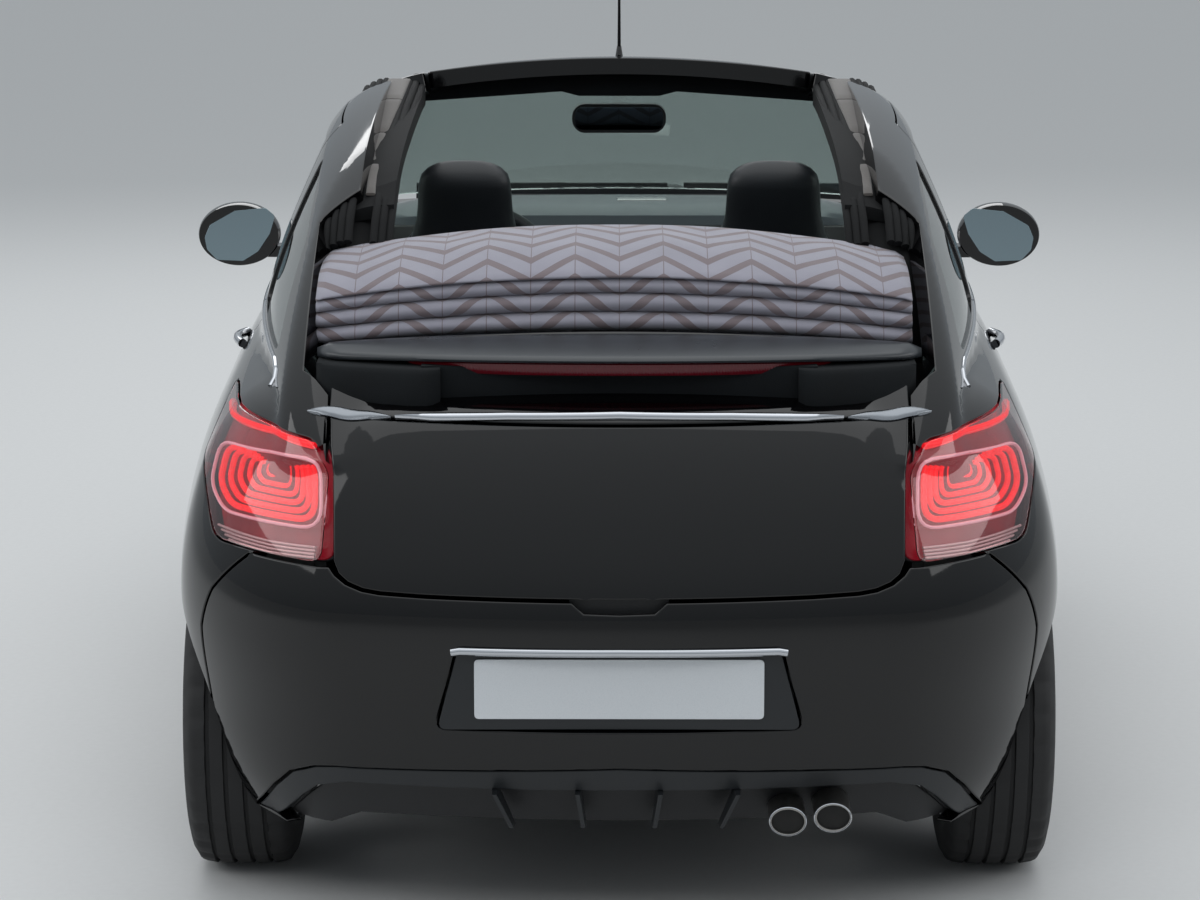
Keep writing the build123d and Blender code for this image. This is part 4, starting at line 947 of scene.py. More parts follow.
def slab(name, outline, near, far, finish, body, plane="rear", soft=0.002, replaces=None):
    mesh = bpy.data.meshes.new(name)
    build = bmesh.new()
    ring = []
    for a, b in outline:
        place = (near, a, b) if plane == "rear" else ((a, near, b) if plane == "side" else (a, b, near))
        ring.append(build.verts.new(place))
    face = build.faces.new(ring)
    moved = bmesh.ops.extrude_face_region(build, geom=[face])
    shift = {"rear": (far - near, 0, 0), "side": (0, far - near, 0), "top": (0, 0, far - near)}[plane]
    bmesh.ops.translate(build, vec=shift,
                        verts=[v for v in moved["geom"] if isinstance(v, bmesh.types.BMVert)])
    written(build, mesh)
    mesh.materials.append(finish)
    shade(mesh)
    made = stood(name, mesh, body, replaces)
    if soft:
        edge = made.modifiers.new("soft", "BEVEL")
        edge.width = soft
        edge.segments = 2
        edge.limit_method = "ANGLE"
        edge.harden_normals = True
    return made


low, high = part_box("number_plate")
plate_outline = round_corners([(low.y, low.z), (high.y, low.z), (high.y, high.z), (low.y, high.z)], 0.009)
slab("number_plate_sheet", plate_outline, low.x, high.x, plate_white, "body", soft=0.0006,
     replaces="number_plate")
recess_half = [(-0.327, 0.437), (0.327, 0.437), (0.289, 0.589), (-0.289, 0.589)]
slab("plate_dish_floor", round_corners(recess_half, 0.014), high.x + 0.001, high.x + 0.012, black_satin,
     "body")
grip = [(-0.09, 0.648), (0.09, 0.648), (0.09, 0.69), (-0.09, 0.69)]
slab("lid_grip_dish", grip, -1.944, -1.934, black_plastic, "body")


# Folded roof: three layers of padded acoustic cloth lying one on another behind the seats, held by
# the roof tracks. The outer cloth is woven in a pale lilac grey with zigzag bands of taupe and thin
# upright lines.
roof_cloth, tree, shader = material("lilac_grey_woven_roof_cloth")
uv = node(tree, "ShaderNodeUVMap", uv_map="cloth").outputs["UV"]
split = node(tree, "ShaderNodeSeparateXYZ", [("Vector", uv)])
ZIGZAG = 0.165
ZIGZAG_SLOPE = 0.95
BAND = 0.068
BAND_HALF = 0.0115
UPRIGHT = 0.0825
UPRIGHT_HALF = 0.0009
fold = node(tree, "ShaderNodeMath", [(0, split.outputs["X"]), (1, ZIGZAG / 2)], operation="PINGPONG")
climb = node(tree, "ShaderNodeMath", [(0, fold.outputs[0]), (1, ZIGZAG_SLOPE), (2, split.outputs["Y"])],
             operation="MULTIPLY_ADD")
phase = node(tree, "ShaderNodeMath", [(0, climb.outputs[0]), (1, BAND / 2)], operation="PINGPONG")
wide = node(tree, "ShaderNodeMath", [(0, phase.outputs[0]), (1, BAND_HALF)], operation="LESS_THAN")
upright = node(tree, "ShaderNodeMath", [(0, split.outputs["X"]), (1, UPRIGHT / 2)], operation="PINGPONG")
thin = node(tree, "ShaderNodeMath", [(0, upright.outputs[0]), (1, UPRIGHT_HALF)], operation="LESS_THAN")
dark = node(tree, "ShaderNodeMath", [(0, wide.outputs[0]), (1, thin.outputs[0])], operation="MAXIMUM")
# The threads are drawn twice as coarse as they are, so that they show. A wave texture repeats every
# WAVE / Scale metres.
THREAD = 0.00196
WAVE = math.pi / 10
weft, warp = (node(tree, "ShaderNodeTexWave", [("Vector", uv)], Scale=WAVE / THREAD, Distortion=0.4,
                   bands_direction=way) for way in "XY")
thread = node(tree, "ShaderNodeMath", [(0, weft.outputs["Fac"]), (1, warp.outputs["Fac"])],
              operation="MULTIPLY")
blotch = node(tree, "ShaderNodeTexNoise", [("Vector", uv)], Scale=1000 / 71, Detail=5.0)
ground = node(tree, "ShaderNodeMix", [("Factor", blotch.outputs["Fac"])], data_type="RGBA",
              A=linear("#92919d"), B=linear("#a4a3af"))
tint = node(tree, "ShaderNodeMix", [("Factor", dark.outputs[0]), ("A", ground.outputs["Result"])],
            data_type="RGBA", B=linear("#7d7276"))
lift = node(tree, "ShaderNodeBump", [("Height", thread.outputs[0])], Strength=0.35, Distance=0.0008)
put(shader, [("Base Color", tint.outputs["Result"]), ("Normal", lift.outputs["Normal"])], Roughness=0.85,
    IOR=1.45, Sheen_Weight=0.25, Sheen_Roughness=0.5)

BED_Z = 1.100
STACK_HALF = 0.560
STACK_SHIFT = 0.010
STACK_BOW = 0.070
STACK_SAG = 0.040
HEART_X = -1.42
HEART_Z = 0.055
HEM = 0.015


# Side profile of the stack: flat foot, steep front, crowned top, a lip where the top layer ends, and
# three rolls below it, each given by its middle, half height and how far it bulges
def stack_profile():
    points = [(-1.545, 0.0), (-1.45, 0.0), (-1.36, 0.0), (-1.31, 0.012), (-1.26, 0.05), (-1.222, 0.095),
              (-1.212, 0.122), (-1.216, 0.142), (-1.232, 0.154), (-1.252, 0.158)]
    for k in range(1, 20):
        t = k / 20
        points.append((-1.252 - 0.294 * t, 0.158 - 0.022 * t - 0.030 * t ** 4
                       + 0.006 * math.sin(math.pi * t)))
    points += [(-1.550, 0.104), (-1.551, 0.1005), (-1.548, 0.0985)]
    rolls = [(-1.530, 0.0825, 0.0140, 0.021), (-1.534, 0.051, 0.0165, 0.025), (-1.538, 0.0175, 0.0170, 0.027)]
    for x, z, half, out in rolls:
        for k in range(9):
            turn = math.pi * (0.5 - k / 8) * 0.96
            points.append((x - out * math.cos(turn), z + half * math.sin(turn)))
    return points


profile = stack_profile()
ROWS = 72
verts = []
uvs = []
for row in range(ROWS + 1):
    share = -1 + 2 * row / ROWS
    end = max(0.0, (abs(share) - 1 + HEM) / HEM)
    flat = 1 - 0.13 * share ** 2
    run = 0.0
    for k, (x, z) in enumerate(profile):
        ripple = 0.0012 * math.sin(9 * share + 0.5 * k) * (1 if 10 <= k < 29 else 0.5)
        px = HEART_X + (x - HEART_X) * (1 - 0.02 * end ** 2)
        pz = HEART_Z + (z - HEART_Z) * (1 - 0.06 * end ** 2)
        if k:
            run += math.dist(profile[k], profile[k - 1])
        verts.append((px + STACK_BOW * share ** 2, STACK_SHIFT + share * STACK_HALF,
                      BED_Z - STACK_SAG * share ** 2 + max(0.0, pz * flat + ripple * (pz > 0.01))))
        uvs.append((share * STACK_HALF + 1.0, run + 1.0))
mesh = closed_mesh("folded_roof_cloth", verts, ring_faces([profile] * (ROWS + 1)), roof_cloth)
layer = mesh.uv_layers.new(name="cloth")
for loop in mesh.loops:
    layer.data[loop.index].uv = uvs[loop.vertex_index]
for polygon in mesh.polygons:
    polygon.use_smooth = polygon.loop_total == 4
folded = stood("folded_roof_cloth", mesh, "body", "folded_roof")


# Spoiler on the folded rear panel: a satin black moulding, bowed in plan and drooping to its tips,
# with a thin rear lip. It is clipped to the panel, and the folded cloth rests against its front edge.
# Its lacquer is satin, and its colour is lifted from black to a grey, a painted reflection of the sky.
SPOILER_HALF = 0.560
satin_lacquer_painted_sky, tree, shader = material("satin_black_lacquer_painted_sky_grey")
place = node(tree, "ShaderNodeTexCoord").outputs["Object"]
mist = node(tree, "ShaderNodeTexNoise", [("Vector", place)], Scale=1000 / 200, Detail=4.0)
haze = node(tree, "ShaderNodeMapRange", [("Value", mist.outputs["Fac"])], To_Min=0.24, To_Max=0.34)
put(shader, [("Roughness", haze.outputs["Result"])], Base_Color=linear("#303438"), IOR=1.5)

SPOILER = [(0.0, 0.008), (0.03, 0.0005), (0.5, 0.0), (0.9, 0.003), (0.985, 0.006), (1.0, 0.0105),
           (0.985, 0.0145), (0.9, 0.018), (0.55, 0.0275), (0.25, 0.0295), (0.06, 0.029), (0.0, 0.026)]
sections = []
for k in range(49):
    share = -1 + 2 * k / 48
    tip = max(0.0, (abs(share) - 0.93) / 0.07)
    rear = -1.800 + 0.185 * share ** 2 + 0.025 * tip ** 2
    front = -1.576
    thick = 1 - 0.45 * tip ** 2
    low_z = 1.0745 - 0.022 * share ** 2 + 0.004 * tip
    sections.append([(front + (rear - front) * a, share * SPOILER_HALF, low_z + b * thick)
                     for a, b in SPOILER])
strip_loft("spoiler_blade", sections, satin_lacquer_painted_sky, "body", "roof_spoiler")


# High brake lamp: a crescent under the lip of the spoiler, clipped into it, with a lens of red
# acrylic that diffuses through fine upright ribs. The ribs are drawn twice as coarse as they are.
RIB = 0.0052
red_strip, tree, shader = material("red_acrylic_ribbed_strip")
place = node(tree, "ShaderNodeTexCoord").outputs["Object"]
ribs = node(tree, "ShaderNodeTexWave", [("Vector", place)], Scale=WAVE / RIB, bands_direction="Y")
lift = node(tree, "ShaderNodeBump", [("Height", ribs.outputs["Fac"])], Strength=0.4, Distance=0.001)
put(shader, [("Normal", lift.outputs["Normal"])], Base_Color=linear("#4a0612"), Roughness=0.15, IOR=1.49,
    Emission_Color=linear("#800014"), Emission_Strength=0.05)
sections = []
for k in range(33):
    share = -1 + 2 * k / 32
    y = 0.385 * share
    top = 1.0765 - 0.070 * y * y
    low = top - 0.019 * (1 - share ** 6) - 0.0015
    rear = -1.789 + 0.59 * y * y
    sections.append([(rear + 0.05, y, top), (rear, y, top), (rear + 0.001, y, (top + low) / 2),
                     (rear + 0.006, y, low), (rear + 0.05, y, low)])
strip_loft("high_brake_lamp_lens", sections, red_strip, "body", "high_brake_lamp")


# Folded rear panel: black cloth over foam closes the space between the spoiler and the deck. It
# bulges at each side and lies deeper in the middle. The weave is drawn coarser than its half a
# millimetre, and gives the black a soft nap.
black_cloth, tree, shader = material("black_acrylic_cloth")
place = node(tree, "ShaderNodeTexCoord").outputs["Object"]
weave = node(tree, "ShaderNodeTexVoronoi", [("Vector", place)], Scale=1000 / 2)
fade = node(tree, "ShaderNodeTexNoise", [("Vector", place)], Scale=1000 / 91, Detail=4.0)
tint = node(tree, "ShaderNodeMix", [("Factor", fade.outputs["Fac"])], data_type="RGBA", A=linear("#0a0c0e"),
            B=linear("#14181b"))
lift = node(tree, "ShaderNodeBump", [("Height", weave.outputs["Distance"])], Strength=0.4, Distance=0.0006)
put(shader, [("Base Color", tint.outputs["Result"]), ("Normal", lift.outputs["Normal"])], Roughness=0.9,
    IOR=1.35)

WALL_DEEP = 0.075
WALL_FACE = 0.012


# A padded wall from side to side, full in the middle of its height
def cloth_wall(name, y_from, y_to, rear_from, rear_to, low, high, bulge, steps=18):
    rings = []
    for k in range(steps + 1):
        t = k / steps
        full = math.sqrt(max(0.0, 1 - (2 * t - 1) ** 4))
        y = y_from + (y_to - y_from) * t
        rear = rear_from + (rear_to - rear_from) * t ** 1.25
        foot = low[0] + (low[1] - low[0]) * t
        head = high[0] + (high[1] - high[0]) * t
        ring = [(rear + WALL_DEEP, y, foot), (rear + WALL_DEEP, y, head)]
        for j in range(11):
            turn = math.pi * (0.5 - j / 10)
            swell = math.cos(turn) ** 0.7 if abs(math.cos(turn)) > 1e-9 else 0
            ring.append((rear + WALL_FACE - bulge * full * swell, y,
                         (foot + head) / 2 + (head - foot) / 2 * math.sin(turn)))
        rings.append(ring)
    made = strip_loft(name, rings, black_cloth, "body")
    return made


middle_wall = cloth_wall("folded_panel_middle", -0.36, 0.36, -1.752, -1.752, (0.960, 0.960), (1.066, 1.066),
                         0.006)
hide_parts("folded_rear_panel")
cloth_wall("folded_panel_left", 0.325, 0.557, -1.772, -1.665, (0.962, 0.955), (1.064, 1.056), 0.022)
cloth_wall("folded_panel_right", -0.325, -0.545, -1.772, -1.668, (0.962, 0.955), (1.064, 1.056), 0.022)


# Valance: a satin black band round the foot of the bumper that sweeps down to the wheels, and under
# it a deeper diffuser with fins. The exhaust's twin tips come out through it on the right.
band_half = seam("rear", [(0, 360), (520, 342), (560, 336), (606, 316), (640, 277), (684, 206), (640, 206),
                          (588, 268), (558, 296), (500, 312), (0, 316)])
panel("valance_band", "tail", [both_sides(band_half)], black_satin, black_plastic, "body", "rear_valance",
      form=sunk_form(0.006), depth=0.02, gap=0.015, shut=0.001)
deep_half = seam("rear", [(0, 326), (500, 322), (560, 306), (600, 262), (640, 214), (560, 214), (500, 240),
                          (0, 240)])
panel("valance_diffuser", "tail", [both_sides(deep_half)], black_plastic, black_plastic, "body",
      form=sunk_form(0.045), depth=0.015, gap=0.02, shut=0.0)
for k, y in enumerate((0.225, 0.075, -0.075, -0.215)):
    lean = 0.030 * y / 0.22
    at = y - lean
    foot = [(-1.925, at - 0.004, 0.250), (-1.925, at + 0.004, 0.250), (-1.87, at + 0.006, 0.243),
            (-1.87, at - 0.006, 0.243)]
    head = [(-1.938, y - 0.004, 0.316), (-1.938, y + 0.004, 0.316), (-1.87, y + 0.006, 0.316),
            (-1.87, y - 0.006, 0.316)]
    strip_loft(f"diffuser_fin_{k}", [foot, head], black_satin, "body")


# Exhaust tips: oval trims of stainless steel with a rolled mouth, pushed over the pipes. Inside they
# are dull and dark with soot.
soot, tree, shader = material("sooted_steel")
place = node(tree, "ShaderNodeTexCoord").outputs["Object"]
ash = node(tree, "ShaderNodeTexNoise", [("Vector", place)], Scale=1000 / 17, Detail=4.0)
tint = node(tree, "ShaderNodeMix", [("Factor", ash.outputs["Fac"])], data_type="RGBA", A=linear("#0c0c0d"),
            B=linear("#232220"))
put(shader, [("Base Color", tint.outputs["Result"])], Roughness=0.8)


def oval(x, y, z, half_y, half_z, steps=40):
    turns = [2 * math.pi * k / steps for k in range(steps)]
    return [(x, y + half_y * math.cos(t), z + half_z * math.sin(t)) for t in turns]


for k, (y, z) in enumerate(((-0.305, 0.2655), (-0.386, 0.2725))):
    shell = [(-1.86, 0.030, 0.024), (-1.90, 0.032, 0.0255), (-1.931, 0.0335, 0.0268),
             (-1.9345, 0.0342, 0.0275), (-1.9355, 0.0328, 0.0262), (-1.933, 0.0312, 0.0247),
             (-1.925, 0.0305, 0.0240)]
    strip_loft(f"exhaust_trim_{k}", [oval(x, y, z, a, b) for x, a, b in shell], chrome, "body")
    strip_loft(f"exhaust_throat_{k}", [oval(x, y, z, a, b) for x, a, b in (
        (-1.9285, 0.0308, 0.0243), (-1.924, 0.0304, 0.0239))], soot, "body")


# Wheels: tyres of moulded rubber with four grooves round the tread, cross cuts on the shoulders and
# a rounded wall, on rims of cast aluminium with ten spokes, bolted to the hubs over the brake discs.
# The rubber has a faint bloom that breaks up its black.
tyre_rubber, tree, shader = material("black_tyre_rubber")
place = node(tree, "ShaderNodeTexCoord").outputs["Object"]
bloom = node(tree, "ShaderNodeTexNoise", [("Vector", place)], Scale=1000 / 110, Detail=6.0)
tint = node(tree, "ShaderNodeMix", [("Factor", bloom.outputs["Fac"])], data_type="RGBA", A=linear("#141415"),
            B=linear("#222223"))
grit = node(tree, "ShaderNodeTexNoise", [("Vector", place)], Scale=1000 / 1.4)
lift = node(tree, "ShaderNodeBump", [("Height", grit.outputs["Fac"])], Strength=0.2, Distance=0.0005)
put(shader, [("Base Color", tint.outputs["Result"]), ("Normal", lift.outputs["Normal"])], Roughness=0.7,
    IOR=1.52)

# Silver lacquer: its flakes, far finer than this, are drawn coarser so that the silver has a grain
silver_alloy, tree, shader = material("silver_lacquered_cast_aluminium")
place = node(tree, "ShaderNodeTexCoord").outputs["Object"]
flake = node(tree, "ShaderNodeTexVoronoi", [("Vector", place)], Scale=1000 / 0.67)
tint = node(tree, "ShaderNodeMix", [("Factor", flake.outputs["Distance"])], data_type="RGBA",
            A=linear("#b9bcc0"), B=linear("#d2d5d9"))
put(shader, [("Base Color", tint.outputs["Result"])], Roughness=0.28, Metallic=0.85, Coat_Weight=0.5,
    Coat_Roughness=0.05)

# Cast iron, turned bright and worn by the pads, with duller patches
disc_iron, tree, shader = material("turned_grey_cast_iron")
place = node(tree, "ShaderNodeTexCoord").outputs["Object"]
turned = node(tree, "ShaderNodeTexNoise", [("Vector", place)], Scale=1000 / 25, Detail=5.0)
tint = node(tree, "ShaderNodeMix", [("Factor", turned.outputs["Fac"])], data_type="RGBA", A=linear("#77787a"),
            B=linear("#8e8f90"))
put(shader, [("Base Color", tint.outputs["Result"])], Roughness=0.4, Metallic=1.0)

TYRE_R = 0.308
RIM_R = 0.216
HALF_W = 0.101
TREAD_HALF = 0.086
GROOVES = (-0.052, -0.018, 0.018, 0.052)
GROOVE_HALF = 0.0042
GROOVE_DEEP = 0.007
AROUND = 192


def tyre_profile():
    wall = [(RIM_R + 0.001, -HALF_W + 0.010, 0), (RIM_R + 0.012, -HALF_W + 0.004, 0),
            (RIM_R + 0.030, -HALF_W + 0.0008, 0), (RIM_R + 0.048, -HALF_W, 0),
            (RIM_R + 0.066, -HALF_W + 0.0045, 0), (TYRE_R - 0.016, -HALF_W + 0.011, 1),
            (TYRE_R - 0.008, -TREAD_HALF + 0.001, 1), (TYRE_R - 0.0045, -TREAD_HALF + 0.010, 1)]
    points = list(wall)
    for groove in GROOVES:
        top = TYRE_R - 0.0035 * (groove / TREAD_HALF) ** 2
        shoulder = 1 if groove == GROOVES[0] else 2
        points += [(top, groove - GROOVE_HALF - 0.0008, shoulder), (top - 0.001, groove - GROOVE_HALF, 0),
                   (top - GROOVE_DEEP, groove - GROOVE_HALF + 0.001, 0),
                   (top - GROOVE_DEEP, groove + GROOVE_HALF - 0.001, 0),
                   (top - 0.001, groove + GROOVE_HALF, 0),
                   (top, groove + GROOVE_HALF + 0.0008, 1 if groove == GROOVES[-1] else 2)]
    points += [(r, -y, mark) for r, y, mark in wall[::-1]]
    return points


def turned_mesh(name, rows, around, finish, cut=None):
    count = len(rows)
    verts = []
    for a in range(around):
        turn = 2 * math.pi * a / around
        for row in rows:
            r = row[0] - (cut(a, row) if cut else 0)
            verts.append((r * math.cos(turn), row[1], r * math.sin(turn)))
    faces = []
    for a in range(around):
        low = a * count
        high = ((a + 1) % around) * count
        faces += [(low + k, low + k + 1, high + k + 1, high + k) for k in range(count - 1)]
    return closed_mesh(name, verts, faces, finish)


def block_cut(a, row):
    if row[2] == 1 and a % 6 in (0, 1):
        return 0.0042 if row[0] > TYRE_R - 0.01 else 0.002
    if row[2] == 2 and a % 12 == 6:
        return 0.002
    return 0.0


# Rows of a turned piece give radius, width and a mark, 1 for the shoulders and 2 for the blocks
# between the grooves, which are cut across
tyre_rows = tyre_profile()
tyre_rows = [(RIM_R - 0.004, -HALF_W + 0.022, 0)] + tyre_rows + [(RIM_R - 0.004, HALF_W - 0.022, 0)]
tyre_rows.append((RIM_R - 0.004, -HALF_W + 0.022, 0))
tyre_mesh = turned_mesh("tyre", tyre_rows, AROUND, tyre_rubber, block_cut)
shade(tyre_mesh, 38)

SPOKES = 10
SPOKE_EDGE = 0.0035
RIM_AROUND = 96
HUB_AROUND = 48
DISC_AROUND = 72


def rim_mesh():
    rows = [(RIM_R - 0.001, 0.093, 0), (RIM_R + 0.006, 0.0945, 0), (RIM_R + 0.008, 0.090, 0),
            (RIM_R - 0.001, 0.086, 0), (RIM_R - 0.004, 0.060, 0), (RIM_R - 0.012, 0.030, 0),
            (RIM_R - 0.012, -0.060, 0), (RIM_R - 0.003, -0.080, 0), (RIM_R + 0.006, -0.090, 0),
            (RIM_R + 0.004, -0.094, 0), (RIM_R - 0.006, -0.090, 0), (RIM_R - 0.018, -0.062, 0),
            (RIM_R - 0.018, 0.040, 0), (RIM_R - 0.012, 0.074, 0), (RIM_R - 0.010, 0.088, 0),
            (RIM_R - 0.001, 0.093, 0)]
    mesh = turned_mesh("rim", rows, RIM_AROUND, silver_alloy)
    build = bmesh.new()
    build.from_mesh(mesh)
    hub = [(0.0, 0.066), (0.022, 0.066), (0.027, 0.062), (0.029, 0.056), (0.060, 0.058), (0.068, 0.054),
           (0.070, 0.044), (0.068, 0.030), (0.0, 0.030)]
    rings = []
    for r, y in hub:
        r = max(r, 0.0001)
        turns = [2 * math.pi * a / HUB_AROUND for a in range(HUB_AROUND)]
        rings.append([build.verts.new((r * math.cos(t), y, r * math.sin(t))) for t in turns])
    for low_ring, high_ring in zip(rings, rings[1:]):
        for a in range(HUB_AROUND):
            on = (a + 1) % HUB_AROUND
            build.faces.new((low_ring[a], low_ring[on], high_ring[on], high_ring[a]))
    stations = [(0.050, 0.0150, 0.056, 0.026), (0.085, 0.0125, 0.061, 0.020), (0.130, 0.0105, 0.068, 0.018),
                (0.175, 0.0105, 0.074, 0.020), (0.198, 0.0125, 0.077, 0.026), (0.208, 0.0180, 0.078, 0.034)]
    for spoke in range(SPOKES):
        spin = Matrix.Rotation(2 * math.pi * spoke / SPOKES, 3, "Y")
        previous = None
        for r, half, face, deep in stations:
            outline = [(-half, face - deep), (-half, face - SPOKE_EDGE), (-half + SPOKE_EDGE, face),
                       (half - SPOKE_EDGE, face), (half, face - SPOKE_EDGE), (half, face - deep)]
            ring = [build.verts.new(spin @ Vector((w, y, r))) for w, y in outline]
            if previous:
                for k in range(6):
                    build.faces.new((previous[k], previous[(k + 1) % 6], ring[(k + 1) % 6], ring[k]))
            previous = ring
    written(build, mesh)
    shade(mesh, 42)
    return mesh


rim = rim_mesh()
disc_rows = [(0.040, 0.026, 0), (0.058, 0.026, 0), (0.060, 0.012, 0), (0.0605, -0.002, 0),
             (0.075, -0.0035, 0), (0.137, -0.0035, 0), (0.138, -0.005, 0), (0.138, -0.012, 0),
             (0.120, -0.013, 0), (0.120, -0.016, 0), (0.138, -0.017, 0), (0.138, -0.0235, 0),
             (0.137, -0.0245, 0), (0.060, -0.0245, 0), (0.040, -0.0245, 0)]
disc = turned_mesh("disc", disc_rows, DISC_AROUND, disc_iron)
shade(disc, 35)

for end in ("front", "rear"):
    for hand, out in (("left", 1), ("right", -1)):
        name = f"{end}_{hand}"
        low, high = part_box(f"tyre_{name}")
        middle = (low + high) / 2
        half_turn = Matrix.Rotation(0 if out > 0 else math.pi, 4, "Z")
        turn = Matrix.Translation(middle) @ half_turn
        for mesh, label, node_name in ((tyre_mesh, "tyre_tread", f"tyre_{name}"),
                                       (rim, "alloy_wheel", f"rim_{name}"), (disc, "brake_disc", None)):
            made = bpy.data.objects.new(f"{label}_{name}", mesh.copy())
            made.matrix_world = turn
            scene.collection.objects.link(made)
            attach(made, f"wheel_{name}")
            if node_name:
                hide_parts(node_name)


# Glass: laminated float glass in the windscreen and toughened glass at the sides, tinted grey green
# in the mass and polished, so that it darkens what lies behind it. The screen is bonded in, and the
# side panes are let into rubber.
tinted_glass, tree, shader = material("grey_green_tinted_float_glass")
put(shader, Base_Color=linear("#adbcb7"), Roughness=0.0, IOR=1.52, Transmission_Weight=1.0)
screen_half = seam("front", [(0, 1397), (430, 1397), (502, 1399), (514, 1386), (612, 1060), (0, 1058)])
pane = panel("windscreen_pane", "front", [both_sides(screen_half)], tinted_glass, tinted_glass, "body",
             "windscreen", form=sunk_form(0.004), depth=0.005, gap=0.03, shut=0.003, roll=0.001)
door_pane = panel("door_pane_left", "side", [window_loop], tinted_glass, tinted_glass, "door_left",
                  "door_glass_left", form=sunk_form(0.010), depth=0.004, gap=0.03, shut=-0.006, roll=0.001)
quarter_pane = panel("quarter_pane_left", "side", [quarter_loop], tinted_glass, tinted_glass, "body",
                     "quarter_glass", form=sunk_form(0.006), depth=0.004, gap=0.03, shut=-0.004, roll=0.001)
panes = [pane, door_pane, quarter_pane,
         mirrored(door_pane, "door_pane_right", "door_right", "door_glass_right"),
         mirrored(quarter_pane, "quarter_pane_right", "body")]
for pane in panes:
    pane.visible_shadow = False


# Mirrors: silvered glass with a faint blue tint, held in black housings. The outer ones are bolted
# to the doors, and the inner one hangs under the header.
mirror_glass, tree, shader = material("silvered_mirror_glass")
put(shader, Base_Color=linear("#7f929a"), Roughness=0.015, Metallic=1.0, Coat_Weight=0.3, Coat_Roughness=0.01)
low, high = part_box("interior_mirror")
inner_glass = [(-0.101, low.z + 0.007), (0.101, low.z + 0.007), (0.101, high.z - 0.007),
               (-0.101, high.z - 0.007)]
slab("interior_mirror_glass", round_corners(inner_glass, 0.02), low.x - 0.0012, low.x + 0.002, mirror_glass,
     "body", soft=0.0005)
MIRROR_LEFT = [(986, 953), (992, 986), (977, 1020), (910, 1058), (827, 1066), (801, 1044), (816, 996),
               (848, 948), (889, 922), (960, 925)]
for name, side in (("left", 1), ("right", -1)):
    heart = np.mean(np.array(MIRROR_LEFT), axis=0)
    outline = [tuple((heart + (np.array(p) - heart) * 0.88) / 1000 * (side, 1)) for p in MIRROR_LEFT]
    low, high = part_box(f"mirror_{name}")
    slab(f"door_mirror_glass_{name}", round_corners(outline, 0.012), low.x - 0.0012, low.x + 0.002,
         mirror_glass, f"door_{name}", soft=0.0005)


# Seats: moulded foam under black leather, in blocks that are full in the middle and drawn in at their edges,
# with a one-piece headrest. Each stands on the floor by its runners. The pores of the leather are drawn
# coarser, and lighter patches stand partly for wear and partly for a painted sheen.
leather, tree, shader = material("black_seat_leather")
place = node(tree, "ShaderNodeTexCoord").outputs["Object"]
pores = node(tree, "ShaderNodeTexVoronoi", [("Vector", place)], Scale=1000 / 3.1)
wear_and_sheen = node(tree, "ShaderNodeTexNoise", [("Vector", place)], Scale=1000 / 167, Detail=4.0)
tint = node(tree, "ShaderNodeMix", [("Factor", wear_and_sheen.outputs["Fac"])], data_type="RGBA", A=linear("#131619"),
            B=linear("#1f2327"))
lift = node(tree, "ShaderNodeBump", [("Height", pores.outputs["Distance"])], Strength=0.25, Distance=0.0006)
put(shader, [("Base Color", tint.outputs["Result"]), ("Normal", lift.outputs["Normal"])], Roughness=0.42,
    IOR=1.5)


# Stations give the middle line (x, z), half width and half depth; sections are rounded oblongs
def soft_rings(stations, y_middle, power=3.4, around=36, steps=34, cap=0.09):
    stations = np.array(stations, float)
    apart = np.linalg.norm(np.diff(stations[:, :2], axis=0), axis=1)
    run = np.concatenate([[0], np.cumsum(apart)])
    even = 0.5 - 0.5 * np.cos(np.linspace(0, math.pi, steps))
    fine = even * run[-1]
    columns = [natural_spline(run, stations[:, k], fine) for k in range(4)]
    rings = []
    for k in range(steps):
        t = even[k]
        edge = min(t, 1 - t) / cap
        shrink = math.sqrt(max(0.0, 1 - (1 - min(edge, 1.0)) ** 2)) if edge < 1 else 1.0
        shrink = max(shrink, 0.02)
        before = max(k - 1, 0)
        after = min(k + 1, steps - 1)
        dx = columns[0][after] - columns[0][before]
        dz = columns[1][after] - columns[1][before]
        length = math.hypot(dx, dz)
        nx, nz = -dz / length, dx / length
        half_w, half_d = columns[2][k] * (0.6 + 0.4 * shrink), columns[3][k] * shrink
        ring = []
        for a in range(around):
            turn = 2 * math.pi * a / around
            c, s = math.cos(turn), math.sin(turn)
            w = half_w * math.copysign(abs(c) ** (2 / power), c) * (shrink ** 0.35)
            d = half_d * math.copysign(abs(s) ** (2 / power), s)
            ring.append((columns[0][k] + nx * d, y_middle + w, columns[1][k] + nz * d))
        rings.append(ring)
    return rings


def soft_piece(name, blocks, finish, body, replaces):
    verts = []
    faces = []
    for rings in blocks:
        faces += ring_faces(rings, len(verts))
        verts += [point for ring in rings for point in ring]
    mesh = closed_mesh(name, verts, faces, finish)
    shade(mesh)
    made = stood(name, mesh, body, replaces)
    return made


